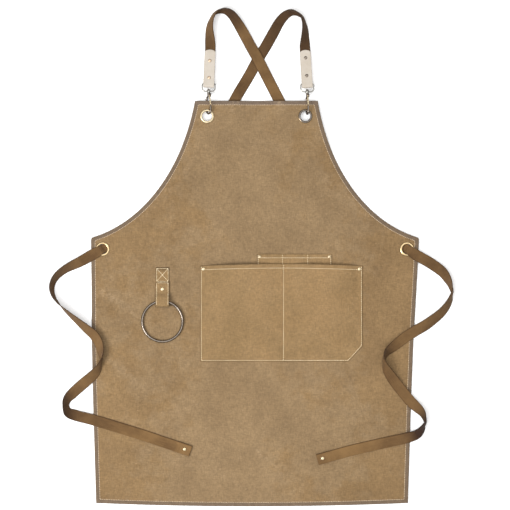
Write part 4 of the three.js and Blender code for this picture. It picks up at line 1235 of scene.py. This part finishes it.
def makeTab(side):
    path = tabPath()
    half = tab["width"] / 2
    columns = [-half, -half + 0.5, -half + 1.3] + spacing([-half + 3, half - 3], 2.5)
    columns += [half - 1.3, half - 0.5, half]
    arch = [tab["arch"] * (1 - math.sqrt(max(0, 1 - (x / half) ** 2))) for x in columns]

    def corner(i, j):
        y, z = path[j]
        if y > 14:
            y = mix(14, tab["length"] - arch[i], (y - 14) / (tab["length"] - 14))
        return Vector((columns[i], y, z))

    def edge(i, j):
        y, z = path[j]
        return min(half - abs(columns[i]), tab["length"] - y if y > 14 else 30.0)

    bm = gridPiece(len(columns), len(path), corner, {"edge": edge})[0]
    place = toFrame @ tabFrame(side)
    obj = makePiece(bm, "leatherTab" + side.title(), "apron", leather, ["leather_tab_" + side],
                    place=place)
    thicken(obj, tab["leather"], 0.35)
    outside = web["thickness"] / 2 + gap + tab["leather"]
    for k, y in enumerate(tab["rivets"][side]):
        rivets = bmesh.new()
        addRivet(rivets, -outside, outside, tab["head"], Matrix.Translation((0, y, 0)))
        makePiece(rivets, f"tabRivet{side.title()}{k + 1}", "apron",
                  copper if side == "left" else gunmetal, [f"tab_rivet_{side}_{k + 1}"],
                  place=place)
    return obj


for side in ("left", "right"):
    makeEye(side)
    makeHook(side)
    makeGate(side)
    makeTab(side)
print("hooks and tabs made")


# Straps: webbing from a tab over the shoulder, across the back, under the bib, up through a
# side grommet and out as a tie. Rows: share of half the width, share of the height, twist

shoulderRows = {
    "left": [
        (-0.274, 1.151, 27), (-0.277, 1.173, 45), (-0.272, 1.194, 60), (-0.254, 1.211, 78),
        (-0.223, 1.221, 98), (-0.183, 1.223, 118), (-0.146, 1.214, 136), (-0.11, 1.195, 151),
        (-0.07, 1.168, 168), (-0.027, 1.136, 180), (0.018, 1.103, 180), (0.07, 1.062, 180),
        (0.136, 1.01, 180),
    ],
    "right": [
        (0.305, 1.151, -40), (0.306, 1.173, -54), (0.301, 1.194, -70), (0.284, 1.208, -86),
        (0.256, 1.216, -102), (0.223, 1.219, -120), (0.188, 1.212, -136), (0.15, 1.195, -151),
        (0.109, 1.166, -168), (0.067, 1.136, -180), (0.018, 1.103, -180), (-0.037, 1.062, -180),
        (-0.113, 1.01, -180),
    ],
}
hiddenRows = {
    "left": [(0.204, 0.958, 180), (0.323, 0.874, 180), (0.5, 0.78, 180), (0.67, 0.692, 180)],
    "right": [(-0.177, 0.958, -180), (-0.305, 0.874, -180), (-0.494, 0.78, -180),
              (-0.67, 0.692, -180)],
}
tieRows = {
    "left": [
        (1.087, 0.594, 174), (1.148, 0.574, 150), (1.179, 0.553, 124), (1.199, 0.532, 95),
        (1.191, 0.511, 60), (1.148, 0.482, 38), (1.047, 0.448, 14), (0.976, 0.431, 5),
        (0.904, 0.412, 10), (0.845, 0.393, 24), (0.802, 0.379, 50), (0.783, 0.359, 90),
        (0.799, 0.338, 134), (0.845, 0.309, 170), (0.901, 0.28, 176), (0.95, 0.256, 170),
        (0.994, 0.239, 150), (1.024, 0.225, 120), (1.036, 0.208, 92), (1.022, 0.193, 58),
        (0.986, 0.176, 26), (0.915, 0.166, 8), (0.793, 0.155, 0), (0.579, 0.135, 0),
    ],
    "right": [
        (-1.062, 0.603, -158), (-1.159, 0.583, -133), (-1.209, 0.566, -125),
        (-1.235, 0.549, -116), (-1.239, 0.532, -111), (-1.228, 0.517, -102),
        (-1.203, 0.502, -94), (-1.169, 0.488, -78), (-1.137, 0.475, -68), (-1.086, 0.458, -56),
        (-1.026, 0.437, -38), (-0.979, 0.42, -26), (-0.95, 0.4, -34), (-0.94, 0.38, -48),
        (-0.934, 0.36, -86), (-0.95, 0.341, -122), (-0.986, 0.322, -155), (-1.057, 0.297, -178),
        (-1.116, 0.275, -164), (-1.147, 0.26, -132), (-1.153, 0.243, -116),
        (-1.138, 0.23, -142), (-1.098, 0.223, -171), (-0.986, 0.211, -180),
        (-0.701, 0.176, -180),
    ],
}
strapShade = {  # painted shade, how much darker the webbing is drawn: row of the whole route, and its share
    "left": [
        (5, 0.4), (8, 0.45), (9, 0.8), (11, 0.9), (12, 0.65), (13, 0.3), (16, 0.27), (30, 0.4),
        (31, 0.45), (33, 0.6), (35, 0.5), (37, 0.4), (40, 0.2), (41, 0.55), (42, 0.4), (43, 0.2),
        (46, 0.35), (48, 0.6), (49, 1.1), (51, 1.15), (52, 0.5), (53, 0.1), (55, 0), (58, 0.1),
    ],
    "right": [
        (5, 0.8), (8, 0.8), (9, 0.85), (11, 0.85), (14, 0.75), (15, 0.65), (16, 0.5), (17, 0.4),
        (30, 0.3), (31, 0.35), (32, 0.6), (34, 0.75), (36, 0.75), (38, 0.6), (40, 0.3), (43, 0.2),
        (44, 0.4), (45, 0.55), (46, 0.3), (49, 0.4), (50, 0.8), (52, 0.85), (53, 0.7), (54, 0.3),
        (55, 0.1), (57, 0), (59, 0.1),
    ],
}
strapEnds = {  # grommet, end of the tie, direction through the grommet, rivet from the end
    "left": ("side_right", (0.381, 0.113), (0.835, -0.55), 11),
    "right": ("side_left", (-0.393, 0.134), (-0.872, -0.49), 13),
}


def supportHeight(x, y):
    outside = abs(x - middle(y)) - halfWidth(y)
    share = fade((outside - web["width"] * 0.6) / (1.6 * web["width"]))
    return (clothTop(x, y) + gap) * share


def grommetRows(name, exit, roll):
    x, y = grommetPlaces[name]
    over = clothLift(x, y) + panel["top"] + gap + 1.4 + gap + web["thickness"]
    flat = web["thickness"] / 2
    wide, bunched = web["width"], web["bunched"]
    rows = [(-3.2, flat, wide), (-1.5, flat + 0.05, wide * 0.94), (-0.68, flat + 0.15, bunched),
            (-0.34, flat + 0.8, bunched), (0, (flat + over) / 2, bunched),
            (0.34, over, bunched), (0.7, over + 0.6, bunched * 1.06),
            (1.25, over + 0.1, wide * 0.92), (2, over - 0.4, wide)]
    hole = grommet["hole"]
    return [{"x": x + out * hole * exit[0], "y": y + out * hole * exit[1], "z": z,
             "width": width, "roll": roll, "free": 1, "over": 1 if out > 1 else 0}
            for out, z, width in rows]


def strapRoute(side):
    def laid(rows, over):
        return [{"x": a * panel["width"] / 2, "y": u * panel["height"], "z": 0,
                 "width": web["width"], "roll": r, "free": 0, "over": over} for a, u, r in rows]
    place = tabFrame(side)
    rows = []
    for along in (12, 30, 50, tab["length"], tab["length"] + 5):
        point = place @ Vector((0, along, 0))
        rows.append({"x": point.x, "y": point.y, "z": point.z, "width": web["width"] - 1,
                     "roll": 0, "free": 1, "over": 0})
    name, (across, up), exit, rivetIn = strapEnds[side]
    rows += laid(shoulderRows[side], 0) + laid(hiddenRows[side], 0)
    rows += grommetRows(name, exit, hiddenRows[side][0][2]) + laid(tieRows[side], 1)
    last = rows[-1]
    end = dict(last, x=across * panel["width"] / 2, y=up * panel["height"])
    length = math.hypot(end["x"] - last["x"], end["y"] - last["y"])

    def back(distance, **change):
        share = distance / length
        return dict(end, x=mix(end["x"], last["x"], share), y=mix(end["y"], last["y"], share),
                    **change)

    seat = rivet["cap"] + 2 * gap
    rows.append(back(web["fold"] * 2, seat=0.3 * seat))
    rows.append(back(web["fold"] + 7, seat=seat))
    rows.append(back(web["fold"], seat=seat, layers=2))
    rows.append(back(0.8, seat=seat, layers=2))
    return rows, back(rivetIn)


crossing = (0.018 * panel["width"] / 2, 1.103 * panel["height"])


def strapStations(side, rows):
    knots = [Vector((r["x"], r["y"], r["z"])) for r in rows]
    stations = []
    for k in range(len(rows) - 1):
        a, b = rows[k], rows[k + 1]
        length = math.hypot(b["x"] - a["x"], b["y"] - a["y"])
        count = max(1, round(length / web["step"]))
        for s in range(count + (k == len(rows) - 2)):
            share = s / count
            value = lambda key, usual=0: mix(a.get(key, usual), b.get(key, usual), share)
            point = spline(knots, min(k + share, len(knots) - 1.0001))
            ahead = spline(knots, min(k + share + 0.01, len(knots) - 1.0))
            behind = spline(knots, max(k + share - 0.01, 0))
            layers = value("layers", 1)
            stations.append({
                "point": point, "along": (ahead - behind).normalized(),
                "roll": math.radians(value("roll")), "width": value("width"),
                "over": value("over"), "seat": value("seat"), "free": value("free"),
                "layers": layers, "shade": table(strapShade[side], k + share),
            })
    for key in ("roll", "width"):
        values = [st[key] for st in stations]
        for k, st in enumerate(stations):
            span = min(web["smooth"], k, len(stations) - 1 - k)
            near = values[k - span:k + span + 1]
            st[key] = sum(near) / len(near)
    for k, st in enumerate(stations):  # how sharply the route turns in plan, and which way
        low, high = stations[max(k - 2, 0)], stations[min(k + 2, len(stations) - 1)]
        length = max((high["point"] - low["point"]).length, 1)
        turn = (high["along"] - low["along"]) / length
        st["turn"] = Vector((turn.x, turn.y, 0))
    for st in stations:
        point, roll = st["point"], st["roll"]
        thickness = web["thickness"] * st["layers"]
        lying = (st["width"] * abs(math.sin(roll)) + thickness * abs(math.cos(roll))) / 2
        away = math.hypot(point.x - crossing[0], point.y - crossing[1])
        bump = fade((away - web["width"]) / (2 * web["width"])) if side == "left" else 0
        bump *= web["thickness"] + 2 * gap
        laid = st["over"] * supportHeight(point.x, point.y) + bump + lying + st["seat"]
        point.z = max(lying, mix(laid, point.z, st["free"]))
        point.z += (st["layers"] - 1) * web["thickness"] / 2
        level = Vector((st["along"].y, -st["along"].x, 0)).normalized()
        st["across"] = level * math.cos(roll) + Vector((0, 0, 1)) * math.sin(roll)
        st["face"] = Vector((0, 0, 1)) * math.cos(roll) - level * math.sin(roll)
        bend = max(-1, min(1, st["turn"].dot(st["face"]) * web["bendReach"]))
        st["camber"] = -web["camber"] * bend * abs(math.sin(roll)) ** 3
    return stations


def foldedEnd(stations):  # the free end turned under and sewn back on itself
    last = stations[-1]
    along = Vector((last["along"].x, last["along"].y, 0)).normalized()
    drop = web["thickness"] * 0.98
    centre = last["point"] - Vector((0, 0, drop / 2))
    extra = []
    for k in range(1, 7):
        angle = math.pi * k / 6
        point = centre + along * (drop / 2 * math.sin(angle))
        point.z += drop / 2 * math.cos(angle)
        extra.append(dict(last, point=point))
    for distance in spacing([0, web["fold"]], 3)[1:]:
        extra.append(dict(last, point=centre - along * distance - Vector((0, 0, drop / 2))))
    return stations + extra


def makeStrap(side):
    rows, rivetPlace = strapRoute(side)
    stations = foldedEnd(strapStations(side, rows))
    columns = [-1, -0.94, -0.8, -0.4, 0, 0.4, 0.8, 0.94, 1]
    travelled = [0.0]
    for a, b in zip(stations, stations[1:]):
        travelled.append(travelled[-1] + (b["point"] - a["point"]).length)

    def corner(i, j):
        st = stations[j]
        share = columns[i]
        bulge = st["face"] * (st["camber"] * (0.5 - share * share))
        return st["point"] + st["across"] * (share * st["width"] / 2) + bulge

    def edge(i, j):  # painted shadow and shade: the free tie is drawn darkest along its upper edge and its end
        inside = (1 - abs(columns[i])) * web["width"] / 2
        if travelled[j] < travelled[-1] - web["tie"]:
            return inside
        end = abs(travelled[-1] - web["fold"] - travelled[j])
        return min(inside - 0.6 if columns[i] > 0 else inside + 1.2, end)

    marks = {"edge": edge, "shade": lambda i, j: stations[j]["shade"]}
    bm, uv, index = gridPiece(len(columns), len(stations), corner, marks)
    for face in bm.faces:
        for corners in face.loops:
            i, j = index[corners.vert]
            corners[uv].uv = (columns[i] * web["width"] / 2000, travelled[j] / 1000)
    obj = makePiece(bm, "crossStrap" + side.title(), "apron", webbing, ["cross_strap_" + side])
    thicken(obj, web["thickness"] * 0.93, 0.3)
    low = supportHeight(rivetPlace["x"], rivetPlace["y"]) + rivet["cap"] + gap
    bm = bmesh.new()
    place = Matrix.Translation((rivetPlace["x"], rivetPlace["y"], 0))
    addRivet(bm, low, low + 2 * web["thickness"] + 2 * gap, rivet["tie"], place)
    makePiece(bm, "tieEndRivet" + side.title(), "apron", paleBrass, ["tie_end_rivet_" + side])
    print("strap", side, round(travelled[-1]), "mm")
    return obj, travelled[-1]


straps = {side: makeStrap(side) for side in ("left", "right")}
print("straps made")


# The panel's cloth area as cut, with its hems turned in, is worked out here and not kept

def panelArea():
    turnIn = hemSection[0][0]
    total, strips = 0, 170
    for k in range(strips):
        total += 2 * halfWidth(panel["height"] * (k + 0.5) / strips) * panel["height"] / strips
    edges = 2 * panel["hip"] + 2 * panel["armholeLength"] + panel["bib"] + panel["bottom"]
    return (total + edges * turnIn) / 1e6


panelArea()
for side in ("left", "right"):
    obj, length = straps[side]


# Floor, camera and light

view = {
    "centre": (0.00767, 0.00466), "width": 1.073, "lens": 150, "sensor": 36,
    "floor": 0.95, "glow": 0.08, "sky": 0.25,
}
lamps = {  # place, size and energy
    "keyLight": ((-2.2, -1.2, 2.6), 1.4, 96),
    "topLight": ((0, 0, 6.5), 13.0, 760),
}


def makeFloor():
    bm = bmesh.new()
    bmesh.ops.create_grid(bm, x_segments=1, y_segments=1, size=14)
    bmesh.ops.translate(bm, verts=bm.verts, vec=(0, 0, -0.0003))
    mesh = bpy.data.meshes.new("floor")
    bm.to_mesh(mesh)
    bm.free()
    floor = bpy.data.objects.new("floor", mesh)
    scene.collection.objects.link(floor)
    look = Look("paleFloor")
    tone = look.span(look.noise(look.objectPlace(), 3), 0.3, 0.7, 0, 1)
    colour = look.blend(tone, [view["floor"]] * 3 + [1], [view["floor"] + 0.02] * 3 + [1])
    mesh.materials.append(look.set(Base_Color=colour, Roughness=0.9, Specular_IOR_Level=0.1,
                                   Emission_Color=(1, 1, 1, 1), Emission_Strength=view["glow"]))


def addLight(name, place, size, energy):  # a round lamp aimed at the middle
    light = bpy.data.lights.new(name, "AREA")
    light.shape = "DISK"
    light.size = size
    light.energy = energy
    obj = bpy.data.objects.new(name, light)
    obj.location = place
    obj.rotation_euler = (Vector() - Vector(place)).to_track_quat("-Z", "Y").to_euler()
    scene.collection.objects.link(obj)


makeFloor()
world = bpy.data.worlds.new("softSky")
scene.world = world
world.use_nodes = True
sky = world.node_tree.nodes["Background"]
sky.inputs["Color"].default_value = (1, 1, 1, 1)
sky.inputs["Strength"].default_value = view["sky"]
for name, lamp in lamps.items():
    addLight(name, *lamp)

camera = bpy.data.cameras.new("camera")
camera.lens = view["lens"]
camera.sensor_width = view["sensor"]
camera.clip_end = 100
eyePoint = bpy.data.objects.new("camera", camera)
eyePoint.location = (*view["centre"], view["width"] * view["lens"] / view["sensor"])
scene.collection.objects.link(eyePoint)
scene.camera = eyePoint
scene.view_settings.view_transform = "Standard"
print("camera and light set")
